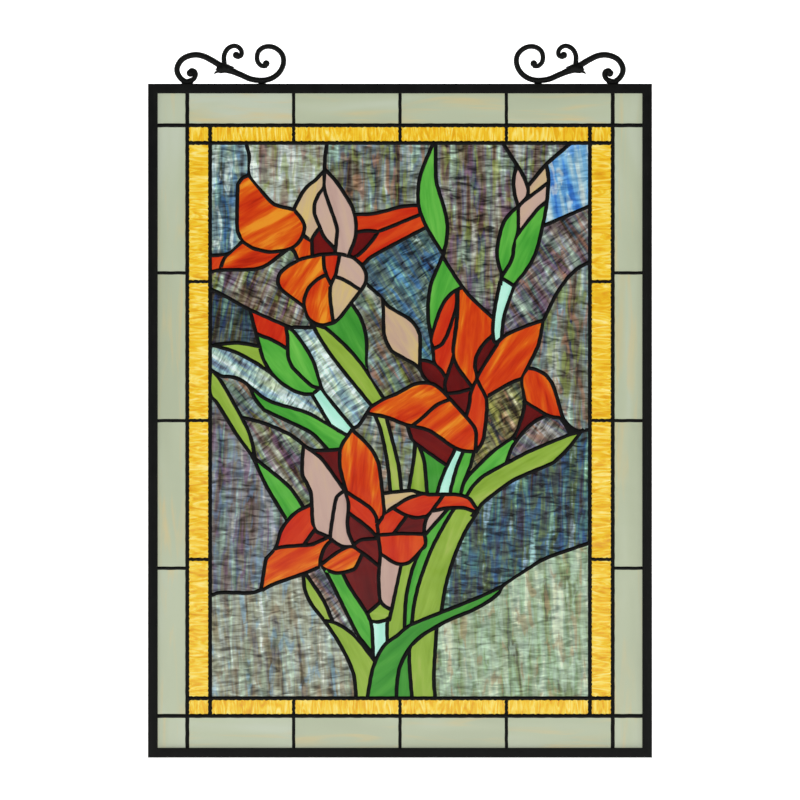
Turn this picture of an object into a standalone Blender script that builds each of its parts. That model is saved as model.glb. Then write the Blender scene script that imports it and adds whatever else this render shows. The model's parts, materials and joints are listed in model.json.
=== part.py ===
"""Hanging stained glass panel: a welded frame with scroll hangers round a leaded lily picture.

The panel is drawn in millimetres, x from its centre line and z up from the frame's lower
edge, and built in metres about the hanging mount.  The front faces -Y and Z is up.
"""
import math

import bmesh
import bpy
import numpy as np
from mathutils import Vector
from mathutils.geometry import delaunay_2d_cdt

# Driving sizes, in millimetres
PANEL_WIDTH = 457.0
PANEL_HEIGHT = 611.0
FRAME_FACE = 8.8
FRAME_DEPTH = 9.5
CHANNEL_DEPTH = 3.0
LEAD_WIDTH = 3.6
LEAD_DEPTH = 4.6
GLASS_DEPTH = 3.0
POCKET_DEPTH = 1.0
GAP = 0.3
RIM = 1.6
IVORY_SIDE = 35.5
IVORY_END = 37.6
AMBER_SIDE = 20.7
AMBER_END = 16.0
HANG_RISE = 32.0
HANG_HEIGHT = PANEL_HEIGHT + HANG_RISE
HANGER_DEPTH = 6.0
HANGER_BAR = 4.4
CURVE_TOLERANCE = 0.45
LINK_REACH = 2.6
SLIVER = 5.0
SMALLEST_PANE = 14.0

# The rectangle that the picture's lines are drawn in, and the panel that the scrolls are drawn on
DRAWN_HALF, DRAWN_LOW, DRAWN_HIGH = 172.3, 53.6, 557.4
DRAWN_END, DRAWN_TOP = 228.5, 611.0

# The picture's lead lines, in millimetres: x from the centre line, z up from the
# frame's lower edge.  Each is a smooth curve through a few points, and its ends
# stop on, or just past, the line that it meets.
UPPER_LILY = {
    "seam over petal 1": [(-140, 559), (-137.5, 550), (-136.5, 540), (-137, 527)],
    "petal 1 left": [(-137, 528), (-143, 525.5), (-147, 518.5), (-147.7, 503), (-148, 485), (-146, 474), (-142, 467)],
    "petal 1 top": [(-137, 528), (-129.3, 519), (-122.5, 510), (-115, 502.5), (-106, 499), (-96.5, 497)],
    "petal 1 foot": [(-144.5, 469), (-135, 462.8), (-126, 459.8), (-118, 458.6), (-108, 459.3), (-99, 461.7),
                     (-92.5, 466.5), (-88, 474), (-86.7, 482), (-90, 489.5), (-96.5, 497.3)],
    "petal 2 back": [(-68.5, 532.5), (-76, 524.5), (-85.5, 516.5), (-91, 508), (-97, 496.5)],
    "petal 2 inner": [(-68.8, 517.5), (-74.5, 509.5), (-77.8, 500), (-77, 491.5), (-73.5, 483.5), (-69, 472.5),
                      (-63.5, 466), (-58, 460)],
    "petal 2 hem": [(-72.5, 481), (-76.5, 476), (-80, 469.5), (-79.8, 462), (-79.5, 454)],
    "petal 3 left": [(-66, 559), (-68, 545), (-68.5, 530), (-69, 518), (-66.5, 508), (-62, 495.5), (-58, 484),
                     (-57.3, 474), (-59, 456.5)],
    "petal 3 right": [(-68.5, 534), (-58.5, 523), (-50.5, 511.5), (-44, 500.5), (-40.8, 491), (-39.8, 481),
                      (-41, 470), (-46.8, 455)],
    "band top": [(-41, 492.5), (-25, 493.2), (-12, 496), (0, 499.3), (8, 500.5), (17.5, 501)],
    "band split": [(-40, 476.5), (-30, 477.8), (-19, 477.5), (-6, 482.2), (6, 487), (19, 492.8)],
    "band foot": [(25, 481.5), (13, 475.5), (0, 467.8), (-15, 460.3), (-25, 454.5), (-34.5, 446.5)],
    "band root": [(-19, 478.5), (-24, 470.5), (-30, 463.3), (-37.3, 456.2), (-43.5, 452.5)],
    "lip top": [(-94, 451.2), (-80, 454.5), (-69, 456.5), (-59, 457), (-50, 455.8), (-42, 453), (-36.5, 448.5)],
    "lip right": [(-37.5, 450), (-33, 444), (-30.7, 437.5), (-31.5, 430), (-36, 423), (-43, 414.5), (-49.5, 406),
                  (-55, 398.5), (-61.5, 393.5)],
    "lip split": [(-59.5, 436.5), (-50, 432.8), (-36, 424)],
    "lip mid": [(-54.5, 457), (-56.5, 447), (-58.8, 436.5), (-62.5, 429.5), (-63.5, 421), (-62.7, 410), (-60.5, 393.5)],
    "lip fold": [(-69.3, 457), (-69, 446), (-66.5, 437), (-62.5, 429)],
    "lip ball": [(-67, 438), (-76, 432.8), (-83, 425.5), (-86.8, 416), (-87, 408), (-84, 399.5), (-78, 394.3),
                 (-70, 392), (-60, 394.5)],
    "lip back": [(-88, 452.8), (-101, 446), (-108.5, 439.5), (-110.8, 431.5), (-107, 424), (-98, 416.5), (-86.8, 408.5)],
    "throat left": [(-99, 461.7), (-95.5, 458), (-92.5, 451.2)],
    "throat cap": [(-88.5, 473.5), (-84.5, 471), (-79.5, 468)],
    "sepal left": [(-143, 468.3), (-149.5, 462.5), (-156, 457), (-160.5, 450.5), (-163, 442)],
    "sepal foot": [(-174, 440), (-165, 442), (-150, 442.7), (-138, 442.5), (-128, 443.8), (-119.5, 447.5),
                   (-111, 454), (-103, 460), (-98.5, 462)],
    "sepal seam": [(-174, 455.3), (-166, 455.5), (-155.5, 457.3)],
}
LEFT_LEAVES = {
    "bud cap": [(-174, 426), (-160, 419.2), (-149, 413), (-137, 406.5), (-127, 402.5), (-115, 397), (-103, 391.5),
                (-92, 390), (-80, 390), (-73.5, 393)],
    "bud left": [(-136.5, 406.5), (-133, 392), (-130, 381), (-126.5, 368.5), (-122, 357), (-114.5, 346),
                 (-106, 338.5), (-96, 332.5), (-87, 329.7), (-77, 329.5)],
    "bud hem": [(-131, 384.5), (-119, 380), (-109, 375), (-101.8, 370.5)],
    "bud right": [(-103.5, 391.8), (-102, 380), (-101.8, 366), (-98.5, 355.5), (-90, 346), (-80.5, 337.5), (-72, 334.5)],
    "spray edge": [(-104, 392), (-96, 386), (-89.5, 377.5), (-82.5, 366.5), (-77, 355), (-73.5, 343),
                   (-71.5, 335.5), (-66, 327.5), (-56.5, 315.5), (-47, 304.5), (-42, 298)],
    "stem 1 cap": [(-81.5, 328), (-76.5, 332.3), (-71.5, 336)],
    "stem 1 left": [(-81, 331), (-74.5, 320.5), (-67.5, 309), (-62.5, 300)],
    "stem 1 foot": [(-63, 301.3), (-56, 296.5), (-45.5, 291)],
    "blade left": [(-80.5, 394), (-72.5, 380), (-65.5, 369.8), (-58.5, 359.5), (-50, 348.5), (-40, 337),
                   (-31, 326), (-25, 318)],
    "blade right": [(-78, 393), (-66.5, 388.5), (-57.5, 381), (-48.5, 372.5), (-39.5, 362.5), (-31, 351.5),
                    (-22.5, 338), (-14, 324.5)],
    "fan right": [(-45, 413), (-38, 403), (-33.8, 394), (-31, 383), (-30, 370), (-29.8, 349)],
    "blade foot": [(-24.5, 320), (-28.5, 315), (-33, 307), (-38, 301), (-45, 297)],
    "lance top": [(-174, 373), (-160, 375.3), (-145, 375.8), (-127.5, 372.8)],
    "lance foot": [(-168, 373.3), (-160, 371.3), (-149, 367.5), (-138, 362), (-127.5, 355.8), (-117, 348)],
    "stream foot": [(-174, 354), (-168, 349), (-161, 345.8), (-152, 345), (-143, 341.5), (-134, 334.5),
                    (-124, 326.5), (-113, 321.3), (-98, 317), (-84, 312.5), (-72, 306), (-61.5, 299.5)],
    "lance 2 left": [(-174, 332), (-166, 321.5), (-156, 305.5), (-148, 292.5), (-139, 280.5), (-132.5, 271)],
    "lance 2 right": [(-171, 352), (-162.5, 341.5), (-154, 327), (-145, 311), (-138.5, 298), (-134, 285), (-131.5, 271)],
    "leaf 7 foot": [(-137, 337), (-131, 324.5), (-123, 315.5), (-111, 309.5), (-97, 303), (-84, 296.5),
                    (-73.5, 288), (-64.5, 278)],
    "brown seam": [(-146.5, 309.3), (-135, 306.3), (-123, 303), (-109, 297.3), (-97, 291), (-87.5, 283.5), (-79, 276.5)],
    "leaf 8 right": [(-132, 271.5), (-120, 261.7), (-108.5, 252.7), (-99.5, 244.3), (-93, 235.5), (-87, 226)],
    "leaf 8 left": [(-136, 277), (-129.3, 264), (-122.5, 248.5), (-113, 232), (-102, 214)],
}
RIGHT_LILY = {
    "calyx tip": [(99.5, 292), (104.5, 288.5), (109.5, 285)],
    "leaf 1 left": [(31, 559), (25, 545.5), (18.5, 528), (16.3, 513), (17, 500), (21, 487.5), (28, 474), (39.5, 456)],
    "leaf 1 right": [(32.3, 559), (32.7, 543), (32.3, 528), (35.5, 513), (40.5, 496.5), (43, 482), (42, 468), (38.5, 453)],
    "leaf 2 left": [(38.7, 455), (33.5, 443.5), (28.8, 431.5), (26, 417), (25.3, 403), (26.5, 391), (28.7, 379),
                    (30, 368), (31.3, 356.5)],
    "leaf 2 right": [(38.5, 454.5), (46, 442.5), (54, 430.5), (62, 420), (72, 410), (85.5, 397.5)],
    "leaf 2 hem": [(57, 427), (49, 422.7), (42.5, 416.5), (37.5, 408.5), (33.5, 398), (28.5, 382)],
    "water foot": [(-31.5, 430.5), (-25, 425), (-17, 417), (-10, 408.8), (-1, 403), (8, 398), (14, 391.5),
                   (18, 382), (18.5, 368), (18, 355), (20, 347.5), (26.5, 339.5)],
    "bell foot": [(-15.5, 416), (-15, 400), (-14.8, 388), (-12.5, 377.5), (-7, 368.5), (3, 362.3), (13, 356.8),
                  (19.5, 351)],
    "slim red right": [(51.8, 424), (51.3, 410), (47.5, 396), (43, 384), (37.5, 374.5), (29.5, 370)],
    "orange left": [(52.5, 424), (52.3, 408), (51.3, 393), (49, 377), (48.2, 365), (51.5, 355.5), (57.5, 346),
                    (66.5, 334.5)],
    "red hem": [(48.3, 363), (45.5, 354), (42, 345), (40.7, 337), (42, 328.5)],
    "dark left top": [(17.5, 360.7), (25, 359.6), (31.5, 357), (37, 351.5), (42, 344)],
    "big petal top": [(-29.5, 316), (-15, 325), (-4, 329.5), (6, 334.8), (14, 338.8), (23, 339.8), (31, 338.2),
                      (38, 333), (47, 323.5), (55, 314), (63, 305.5), (68, 298), (69.3, 289), (68.3, 276)],
    "petal split": [(47, 325.3), (37.5, 321.8), (29.5, 316.8), (20, 307.8), (10, 300)],
    "big petal foot": [(-31.5, 312.5), (-18, 310), (-7, 307), (4, 302.3), (14, 300), (25, 297), (36, 290.5),
                       (46, 283), (55, 278.7), (63, 277.3), (70, 277.3)],
    "centre split": [(41.3, 330), (52, 331), (65.5, 334.7)],
    "centre right": [(66.5, 336), (63.8, 329), (62.8, 320), (59.5, 307.5)],
    "side right": [(69.3, 343.5), (74, 334), (78.3, 325.5), (78.7, 315), (77.3, 300), (75, 287), (68, 275.5)],
    "orange right": [(65.5, 334.5), (70, 344.5), (68, 353), (69.5, 364), (75.5, 374.5), (85, 384)],
    "stripe right": [(92.5, 381.5), (87.5, 373), (82, 364.5), (75, 354), (69, 343)],
    "right petal top": [(88, 373.5), (92.5, 380), (99, 384.8), (108, 388.7), (119, 393), (131, 397)],
    "right petal side": [(130.5, 397.5), (128.5, 387), (125, 373), (119, 359.5), (110, 342.5)],
    "right petal foot": [(111.5, 344), (100, 339.5), (90, 333.5), (76.5, 326)],
    "bloom top": [(112.5, 353.5), (122, 352.2), (131, 347.8), (137.5, 340), (141.5, 330), (144.5, 318),
                  (148, 308), (154, 300.5), (162, 295.8), (174, 297.5)],
    "bloom left": [(110.3, 344), (112, 333), (113.5, 322)],
    "bloom foot": [(112, 323.8), (122, 317.5), (131, 311.8), (139, 308.7), (149, 308)],
    "calyx left": [(113.3, 324), (112, 314), (108.5, 303), (103.5, 290), (100, 285)],
    "calyx right": [(134.5, 311), (125, 306.5), (115, 298.5), (107, 289), (100.5, 279), (95.5, 264.5)],
    "bloom seam": [(144.5, 309.5), (150, 301.5), (155, 292)],
    "stem 2 left": [(87.5, 371.5), (84.5, 381), (84.3, 392), (86, 407), (89, 422), (92, 438)],
    "stem 2 right": [(104, 428.5), (100.5, 418.5), (96, 406), (93.3, 393), (92, 379)],
    "stem 2 foot": [(85, 378), (88.3, 375.8), (92.5, 381)],
    "bud 3 seam": [(91.5, 560), (99, 548), (106, 537), (111.5, 528.5), (115.5, 519), (116.3, 514), (115.5, 508.5),
                   (111, 503.5), (105.5, 497.5)],
    "bud 3 seam 2": [(157, 559), (146, 549), (135.5, 540.8), (128, 533), (121, 524.5), (115, 517)],
    "bud 3 left": [(106.3, 537.5), (103.3, 526), (103.5, 514), (106, 503), (108, 497.5)],
    "bud 3 split": [(113, 505), (119, 509.5), (126, 515), (135.5, 522.3)],
    "bud 3 right": [(132.5, 540), (134.8, 525), (134, 512), (132.7, 499), (130.5, 487), (127.5, 474), (124.5, 462),
                    (119.5, 450), (112, 438.5), (102.5, 427)],
    "bud 3 hem": [(134.5, 506), (124, 496.3), (115, 484.5), (106.5, 474)],
    "bud 3 fold": [(107.5, 501.5), (107.3, 488), (107, 476), (103.5, 464), (101.8, 453), (98, 445), (92.5, 436.5)],
    "bud 3 back": [(108, 500.5), (99.5, 493), (93.5, 484), (90, 472), (88, 459), (89, 449), (92.3, 438), (91.3, 430)],
    "bud 3 foot": [(91, 435.5), (97.5, 431.8), (105, 427)],
    "blue seam": [(129, 481.8), (143.7, 488), (157, 494), (174, 501)],
    "right seam": [(174, 450.5), (164, 445.5), (154, 437), (144, 424), (136.5, 410), (129.5, 395)],
    "long leaf top": [(166, 296.5), (153, 292.5), (140, 287.3), (125, 281), (110, 274), (95, 265.8), (82, 259),
                      (73, 253), (65, 244.5), (59.5, 235.5)],
    "long leaf foot": [(166.5, 297.5), (157, 285.5), (148, 275.5), (138, 267), (124, 261.2), (110, 255), (97, 247.7),
                       (85, 238.8), (75, 230.5), (66, 219.5)],
    "leaf 9 top": [(105, 292.5), (93, 284), (82, 275.5), (72, 265.5), (63.5, 257), (57.5, 248), (54.5, 237)],
    "shoot right": [(67.5, 279), (65, 268), (61.5, 257.5), (57.5, 248)],
    "stem 4 left": [(51, 281), (44.5, 269), (39.5, 257), (36, 248), (33, 237)],
    "stem 4 right": [(58, 279), (53, 267.5), (49.5, 256), (46.5, 245), (45, 237)],
    "fan 2 left": [(17, 283), (21, 272), (23.3, 259), (24.8, 237.5)],
    "dark hem": [(7, 299.8), (10.5, 289.5), (16.5, 282.8), (27, 275.8), (42, 265)],
    "sliver left": [(13.5, 285.5), (12.5, 271), (10.3, 256), (7.5, 240.5)],
    "stem 3 left": [(-23.5, 312), (-18.5, 300), (-14.5, 284), (-11, 264), (-8.5, 239)],
    "stem 3 right": [(-12.7, 309.5), (-9, 296), (-4.5, 279), (-0.8, 261), (1.5, 240.5)],
}
BOTTOM_LILY = {
    "cup rim": [(-17.5, 239.3), (-8, 240.5), (4, 242), (13, 241.5), (20, 239.3), (30, 238.2), (42, 238.6),
                (52, 238.4), (59, 236.8), (65, 232.8), (70.5, 224)],
    "tall left": [(-42.5, 299), (-49.5, 289), (-54, 280), (-54.8, 267), (-52.5, 254), (-48.3, 239)],
    "tall right": [(-45, 298.5), (-34.5, 289), (-26, 279.5), (-20, 268), (-17.5, 254), (-16, 238), (-14.3, 224),
                   (-15.5, 219), (-20.7, 210.5)],
    "tall foot": [(-50.5, 242), (-41, 235.3), (-32, 230), (-26, 225), (-21.5, 217.5), (-20, 206)],
    "strip foot": [(-48.2, 223), (-38.5, 216), (-29.5, 208.8), (-20, 199.5)],
    "small pink left": [(-49.5, 242.5), (-56, 237.5), (-59.3, 230), (-60.5, 218), (-62.7, 207), (-63.5, 198)],
    "small pink right": [(-49.5, 242), (-46.7, 229), (-47.7, 212), (-46, 202), (-41, 190.5)],
    "small pink foot": [(-66, 201), (-60, 195.8), (-52, 191.3), (-41, 191)],
    "tall pink left": [(-87.5, 285), (-88.7, 268), (-88.3, 256), (-83.5, 246.5), (-80.2, 236), (-79.7, 222),
                       (-79, 212), (-76, 204)],
    "tall pink back": [(-90, 285.5), (-79, 276.7), (-70.5, 270), (-62.5, 258.5), (-55, 248.5), (-49, 240.5)],
    "tall pink foot": [(-80.3, 208.5), (-76, 205), (-70.5, 202.3), (-62.5, 199.3)],
    "dark top": [(-84, 280.8), (-78, 278.7), (-66, 278.5), (-53, 279.8)],
    "petal a top": [(-78.5, 230.3), (-88.5, 226), (-96.5, 220.5), (-103, 213.5), (-108, 205.5), (-110.5, 197), (-113, 189)],
    "dark a left": [(-77.5, 206.5), (-82.5, 199.5), (-89, 190.5)],
    "petal b top": [(-114, 189.2), (-104, 191.2), (-90, 191.8), (-80, 193.2), (-71, 197), (-62.5, 201)],
    "petal b right": [(-61, 197.5), (-66, 193.5), (-69.8, 187.5), (-72, 180), (-73, 171)],
    "petal b left": [(-111, 192.3), (-117.5, 184.5), (-121.8, 179), (-123.5, 168), (-126.3, 151)],
    "petal b foot": [(-127, 150.7), (-116, 156.5), (-104, 161), (-94, 164.5), (-84, 168), (-71.5, 173.5)],
    "petal c top": [(-73, 174), (-62, 182.5), (-54, 187.8), (-45.5, 192)],
    "petal c foot": [(-73.5, 174), (-66, 169.5), (-57, 167.2), (-48, 168.5), (-41, 171.5), (-37.5, 177.5), (-33.5, 186)],
    "dark b foot": [(-44, 192.5), (-36, 197), (-28, 198.3), (-17.5, 199)],
    "dark c foot": [(-45, 193), (-34, 185.5), (-27, 180), (-17, 172)],
    "big dark left": [(-53, 168.5), (-46.5, 156), (-39, 144.5), (-31, 132.5), (-26, 122)],
    "core": [(-20.3, 214), (-20, 203), (-18.3, 192), (-17.8, 182), (-19.3, 170), (-19, 152), (-17.5, 137.5)],
    "cream foot": [(-16.5, 220), (-8, 225.3), (1, 231.5), (10, 236), (22, 239.5)],
    "red band foot": [(-7, 226.5), (3, 220.7), (13, 217.5), (22, 218.3), (27.5, 221)],
    "band end": [(41, 240), (35, 232), (29, 223.5), (24, 217), (22, 208), (21.7, 200.5)],
    "band 2 foot": [(29, 223.5), (38, 225.5), (50, 226.6), (60, 225.8), (70.5, 221.5)],
    "pink 4 right": [(45.5, 227.5), (36.5, 217), (29, 208.8), (21.5, 200.5)],
    "red split": [(6.5, 219.5), (0.5, 211), (-6.5, 202)],
    "cup top": [(-21, 201.5), (-10, 202.3), (0, 203), (12, 202.8), (23, 202.5)],
    "cup foot": [(-19, 186), (-13, 182), (-6.5, 177.3), (1, 175), (9, 177.3), (15, 183.5), (21.5, 190),
                 (23.3, 196.5), (21.8, 204)],
    "pink 5 right": [(1.5, 176), (-1.5, 163), (-4.7, 149), (-8, 132)],
    "pink 5 foot": [(-19, 142.5), (-14, 137.3), (-6.5, 133)],
    "knob": [(-17.8, 140.8), (-25, 134.8), (-30, 129.5), (-28, 124.8), (-21, 122.8), (-13, 124.5), (-8.5, 128)],
    "petal seam": [(-174, 146.5), (-164, 149.3), (-150, 149.8), (-136, 149.2), (-124, 152.3)],
}
BOTTOM_LEAVES = {
    "stem 5 left": [(-27, 126), (-25.5, 118), (-24.8, 105), (-24, 86)],
    "stem 5 right": [(-11, 125.5), (-11.8, 118), (-11.7, 103)],
    "yellow left": [(-6.5, 138), (-9.3, 128), (-11.5, 119)],
    "great leaf top": [(-30, 52), (-28, 66), (-24.5, 81), (-19.5, 93.5), (-12, 104), (-2, 111), (8, 119.3),
                       (22, 125.5), (37, 131.3), (52, 137.3), (66, 143), (80, 149.3), (92, 155), (103, 162),
                       (114, 169.5), (125, 176.8), (137, 182.5), (152, 187.7), (174, 195.3)],
    "great leaf foot": [(-3.3, 52), (-2.8, 66), (-0.5, 81), (5, 93.5), (12.5, 103.8), (22, 112), (35, 119.3),
                        (48, 126.5), (63, 132.3), (77, 139.5), (89, 148.5), (96.5, 159)],
    "stalk 1": [(8.7, 100), (8.5, 86), (9.5, 70), (11, 52)],
    "stalk 2": [(33.3, 119.5), (32.3, 104), (31.2, 86), (30.7, 68), (32, 52)],
    "leaf 3 left": [(50.5, 228), (43, 216), (35.5, 202.5), (28.5, 189), (23, 174.5), (17.5, 158.5), (13, 140), (10.5, 119.5)],
    "leaf 3 right": [(70.5, 223), (61.5, 209), (54, 194), (48, 178.5), (43, 162), (39.5, 146), (37, 130)],
    "slim left": [(17, 184.5), (12, 173), (8.5, 160), (5.8, 147), (4.5, 132), (4, 115)],
    "leaf 5 left": [(-69, 172), (-62, 159), (-54.5, 143.5), (-47.5, 129), (-40.5, 115), (-33, 104), (-23.5, 92)],
    "brown left": [(-86.5, 169), (-84.5, 165), (-76, 153), (-68.5, 140.5), (-61, 123)],
    "leaf 6 top": [(-68.5, 124), (-60, 122.5), (-51, 118), (-41, 110), (-32, 99.5), (-22, 86)],
    "leaf 6 left": [(-88, 168), (-87.3, 158), (-85, 148), (-79, 137), (-70.5, 126.5), (-62, 114.5), (-54, 101.5),
                    (-46.5, 87), (-41.5, 72.5), (-39.5, 52)],
}
CARTOON = (UPPER_LILY, LEFT_LEAVES, RIGHT_LILY, BOTTOM_LILY, BOTTOM_LEAVES)

# The panes that are pieces of their own: glass, and a point in the pane.
# The smaller panes are shallow pockets in the lead, one solid with it.
PANES = {
    "upper_lily_petal": ("orange", -125, 485),
    "upper_lily_sepal": ("orange", -138, 452),
    "upper_lily_cream_petal": ("cream", -84, 500),
    "upper_lily_pink_petal": ("cream", -50, 485),
    "upper_lily_inner_petal": ("cream", -68, 490),
    "upper_lily_red_band": ("red", -15, 487),
    "upper_lily_lower_band": ("red", 0, 477),
    "upper_lily_lip": ("orange", -95, 437),
    "upper_lily_lip_ball": ("orange", -75, 412),
    "upper_lily_lip_pink": ("cream", -45, 443),
    "upper_lily_lip_cream": ("cream", -55, 418),
    "left_bud": ("red", -120, 391),
    "left_bud_leaf": ("green", -110, 358),
    "left_bud_inner_leaf": ("green", -93, 362),
    "left_fan_leaf": ("dark_green", -45, 390),
    "left_blade_leaf": ("lime", -45, 357),
    "left_long_leaf": ("green", -80, 304),
    "left_lance_leaf": ("lime", -156, 318),
    "left_lower_leaf": ("green", -108, 240),
    "centre_tall_leaf": ("green", 28, 500),
    "centre_low_leaf": ("green", 38, 430),
    "right_lily_bell": ("cream", 0, 383),
    "right_lily_orange_petal": ("orange", 63, 385),
    "right_lily_right_petal": ("orange", 100, 360),
    "right_lily_big_petal": ("orange", 15, 320),
    "right_lily_lower_petal": ("orange", 48, 300),
    "right_lily_side_bloom": ("orange", 126, 330),
    "right_bud_leaf": ("green", 96, 465),
    "right_bud_outer_leaf": ("green", 117, 465),
    "right_long_leaf": ("lime", 110, 264),
    "bottom_lily_tall_petal": ("orange", -36, 260),
    "bottom_lily_cream_petal": ("cream", -72, 240),
    "bottom_lily_left_petal": ("orange", -95, 178),
    "bottom_lily_cup": ("red", 0, 190),
    "bottom_great_leaf": ("dark_green", -12, 75),
    "bottom_tall_leaf": ("lime", 32, 170),
    "background_bottom_left": ("water", -125, 100),
    "background_bottom_right": ("meadow", 120, 100),
    "background_lower_right": ("water", 120, 215),
    "background_left": ("brook", -145, 220),
}
GLASS = {
    "orange": (0.80, 0.20, 0.03), "red": (0.60, 0.05, 0.03), "cream": (0.72, 0.55, 0.45),
    "green": (0.13, 0.45, 0.09), "dark_green": (0.06, 0.30, 0.05), "lime": (0.38, 0.55, 0.10),
    "water": (0.20, 0.45, 0.55), "meadow": (0.45, 0.52, 0.38), "brook": (0.40, 0.40, 0.38),
    "ivory": (0.62, 0.62, 0.48), "amber": (0.85, 0.60, 0.08),
}
BLACK = (0.012, 0.012, 0.012)

# One hanger, for the left end; the right one is its mirror image.
SCROLLS = {
    "left scroll": [(-194.3, 612.8), (-198.8, 616), (-201.9, 621), (-202.2, 626.4), (-198.8, 632.3), (-193.4, 635.9),
                    (-186.1, 637.6), (-178.8, 636.4), (-171.6, 633), (-164.3, 628.6), (-159, 625)],
    "left curl": [(-191.5, 613.5), (-187.3, 615.5), (-185.4, 619.2), (-186.3, 622.5), (-189.6, 623.6)],
    "middle scroll": [(-158, 624), (-159.6, 631), (-159.6, 637), (-157.2, 642.2), (-153.5, 645), (-150, 645.7),
                      (-146.2, 644.3), (-143.6, 640.8), (-144, 637), (-147, 635.6)],
    "right scroll": [(-162, 623.6), (-152, 622.3), (-144.4, 619.4), (-136.2, 615.8), (-128.5, 614.2), (-121, 614.6),
                     (-114.4, 617.4), (-109, 622.3), (-105.8, 629.2), (-106.2, 636.4), (-110.3, 641.9), (-116.2, 644.9),
                     (-122.6, 644.8), (-127.9, 641.4), (-129.8, 636.4), (-129, 631), (-125.7, 627.5), (-122.3, 627.3)],
    "left foot": [(-193, 611.3), (-193, 615.5)],
    "right foot": [(-125, 611.3), (-125, 614.5)],
    "leaf": [(-167.5, 622.6), (-161, 625.2), (-153, 624.4), (-147.5, 621.2)],
}
BALLS = [(-190.4, 621.2, 2.9), (-148.6, 637.3, 3.0), (-120.9, 630.2, 2.9), (-159.5, 625.4, 4.0)]
THICK = {"left foot": 12.0, "right foot": 9.5, "leaf": 5.2}


def curve(points, steps=6):
    """Points of a smooth curve through the given ones, thinned to the curve tolerance."""
    p = np.array(points, float)
    if len(p) < 3:
        return p
    q = np.vstack([2 * p[0] - p[1], p, 2 * p[-1] - p[-2]])
    path = []
    for a, b, c, e in zip(q, q[1:], q[2:], q[3:]):
        for t in np.arange(steps) / steps:
            path.append(0.5 * (2 * b + (c - a) * t + (2 * a - 5 * b + 4 * c - e) * t * t + (3 * b - a - 3 * c + e) * t ** 3))
    path.append(p[-1])
    return thin(np.array(path), CURVE_TOLERANCE)


def thin(path, tolerance):
    """The points of an open path that it needs to stay within the tolerance."""
    keep = {0, len(path) - 1}
    spans = [(0, len(path) - 1)]
    while spans:
        first, last = spans.pop()
        if last - first < 2:
            continue
        inner = path[first + 1:last]
        away = distance(inner, path[first:first + 1], path[last:last + 1])
        worst = int(np.argmax(away))
        if away[worst] > tolerance:
            middle = first + 1 + worst
            keep.add(middle)
            spans += [(first, middle), (middle, last)]
    return path[sorted(keep)]


def distance(points, starts, ends):
    """Least distance from each point to the segments between starts and ends."""
    along = ends - starts
    rel = points[:, None] - starts[None]
    length = np.maximum((along ** 2).sum(-1), 1e-12)
    t = np.clip((rel * along[None]).sum(-1) / length, 0, 1)
    return np.sqrt(((rel - t[..., None] * along[None]) ** 2).sum(-1)).min(1)


def inside(points, loops):
    """True for each point with an odd number of the loops round it."""
    odd = np.zeros(len(points), bool)
    for loop in loops:
        a = loop[None]
        b = np.roll(loop, -1, 0)[None]
        x, z = points[:, None, 0], points[:, None, 1]
        spans = (a[..., 1] > z) != (b[..., 1] > z)
        rise = np.where(b[..., 1] == a[..., 1], 1, b[..., 1] - a[..., 1])
        cross = x < a[..., 0] + (z - a[..., 1]) * (b[..., 0] - a[..., 0]) / rise
        odd ^= ((spans & cross).sum(1) % 2).astype(bool)
    return odd


def area(loop):
    x, z = loop[:, 0], loop[:, 1]
    return 0.5 * float(np.sum(x * np.roll(z, -1) - z * np.roll(x, -1)))


def mesh_of(paths, closed=True):
    """Triangles over all the paths, with the paths kept as edges."""
    points, edges = [], []
    for path in paths:
        start = len(points)
        points += [Vector((float(x), float(z))) for x, z in path]
        edges += [(start + i, start + i + 1) for i in range(len(path) - 1)]
        if closed:
            edges.append((start + len(path) - 1, start))
    verts, lines, tris, _, kept, _ = delaunay_2d_cdt(points, edges, [], 0, 1e-5)
    walls = {tuple(sorted(e)) for e, k in zip(lines, kept) if k}
    return np.array([tuple(v) for v in verts]), walls, [tuple(t) for t in tris]


def outlines(verts, tris):
    """Boundary loops of a set of triangles, the largest first."""
    sides = {(t[i], t[(i + 1) % 3]) for t in tris for i in range(3)}
    step = {}
    for a, b in sides:
        if (b, a) not in sides:
            step.setdefault(a, []).append(b)
    loops = []
    while step:
        start = next(iter(step))
        loop, here = [], start
        while here in step:
            loop.append(here)
            nexts = step[here]
            after = nexts.pop()
            if not nexts:
                del step[here]
            here = after
        if len(loop) > 2:
            loops.append(verts[loop])
    return sorted(loops, key=lambda loop: -abs(area(loop)))


def together(tris, walls=frozenset()):
    """Groups of triangles that touch along edges with no wall."""
    owner = {}
    for number, t in enumerate(tris):
        for i in range(3):
            owner.setdefault(tuple(sorted((t[i], t[(i + 1) % 3]))), []).append(number)
    seen, groups = set(), []
    for first in range(len(tris)):
        if first in seen:
            continue
        group, front = [], [first]
        seen.add(first)
        while front:
            number = front.pop()
            group.append(tris[number])
            for i in range(3):
                edge = tuple(sorted((tris[number][i], tris[number][(i + 1) % 3])))
                if edge in walls:
                    continue
                for other in owner[edge]:
                    if other not in seen:
                        seen.add(other)
                        front.append(other)
        groups.append(group)
    return groups


def tidy(loop, tolerance, shortest):
    """A closed loop without the points it can do without, going round anticlockwise."""
    if area(loop) < 0:
        loop = loop[::-1]
    turn = int(np.argmax(np.abs(loop - loop.mean(0)).sum(1)))
    loop = np.roll(loop, -turn, 0)
    loop = thin(np.vstack([loop, loop[:1]]), tolerance)[:-1]
    kept = [loop[0]]
    for p in loop[1:]:
        if np.hypot(*(p - kept[-1])) > shortest:
            kept.append(p)
    while len(kept) > 3 and np.hypot(*(kept[-1] - kept[0])) <= shortest:
        kept.pop()
    return np.array(kept)


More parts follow.
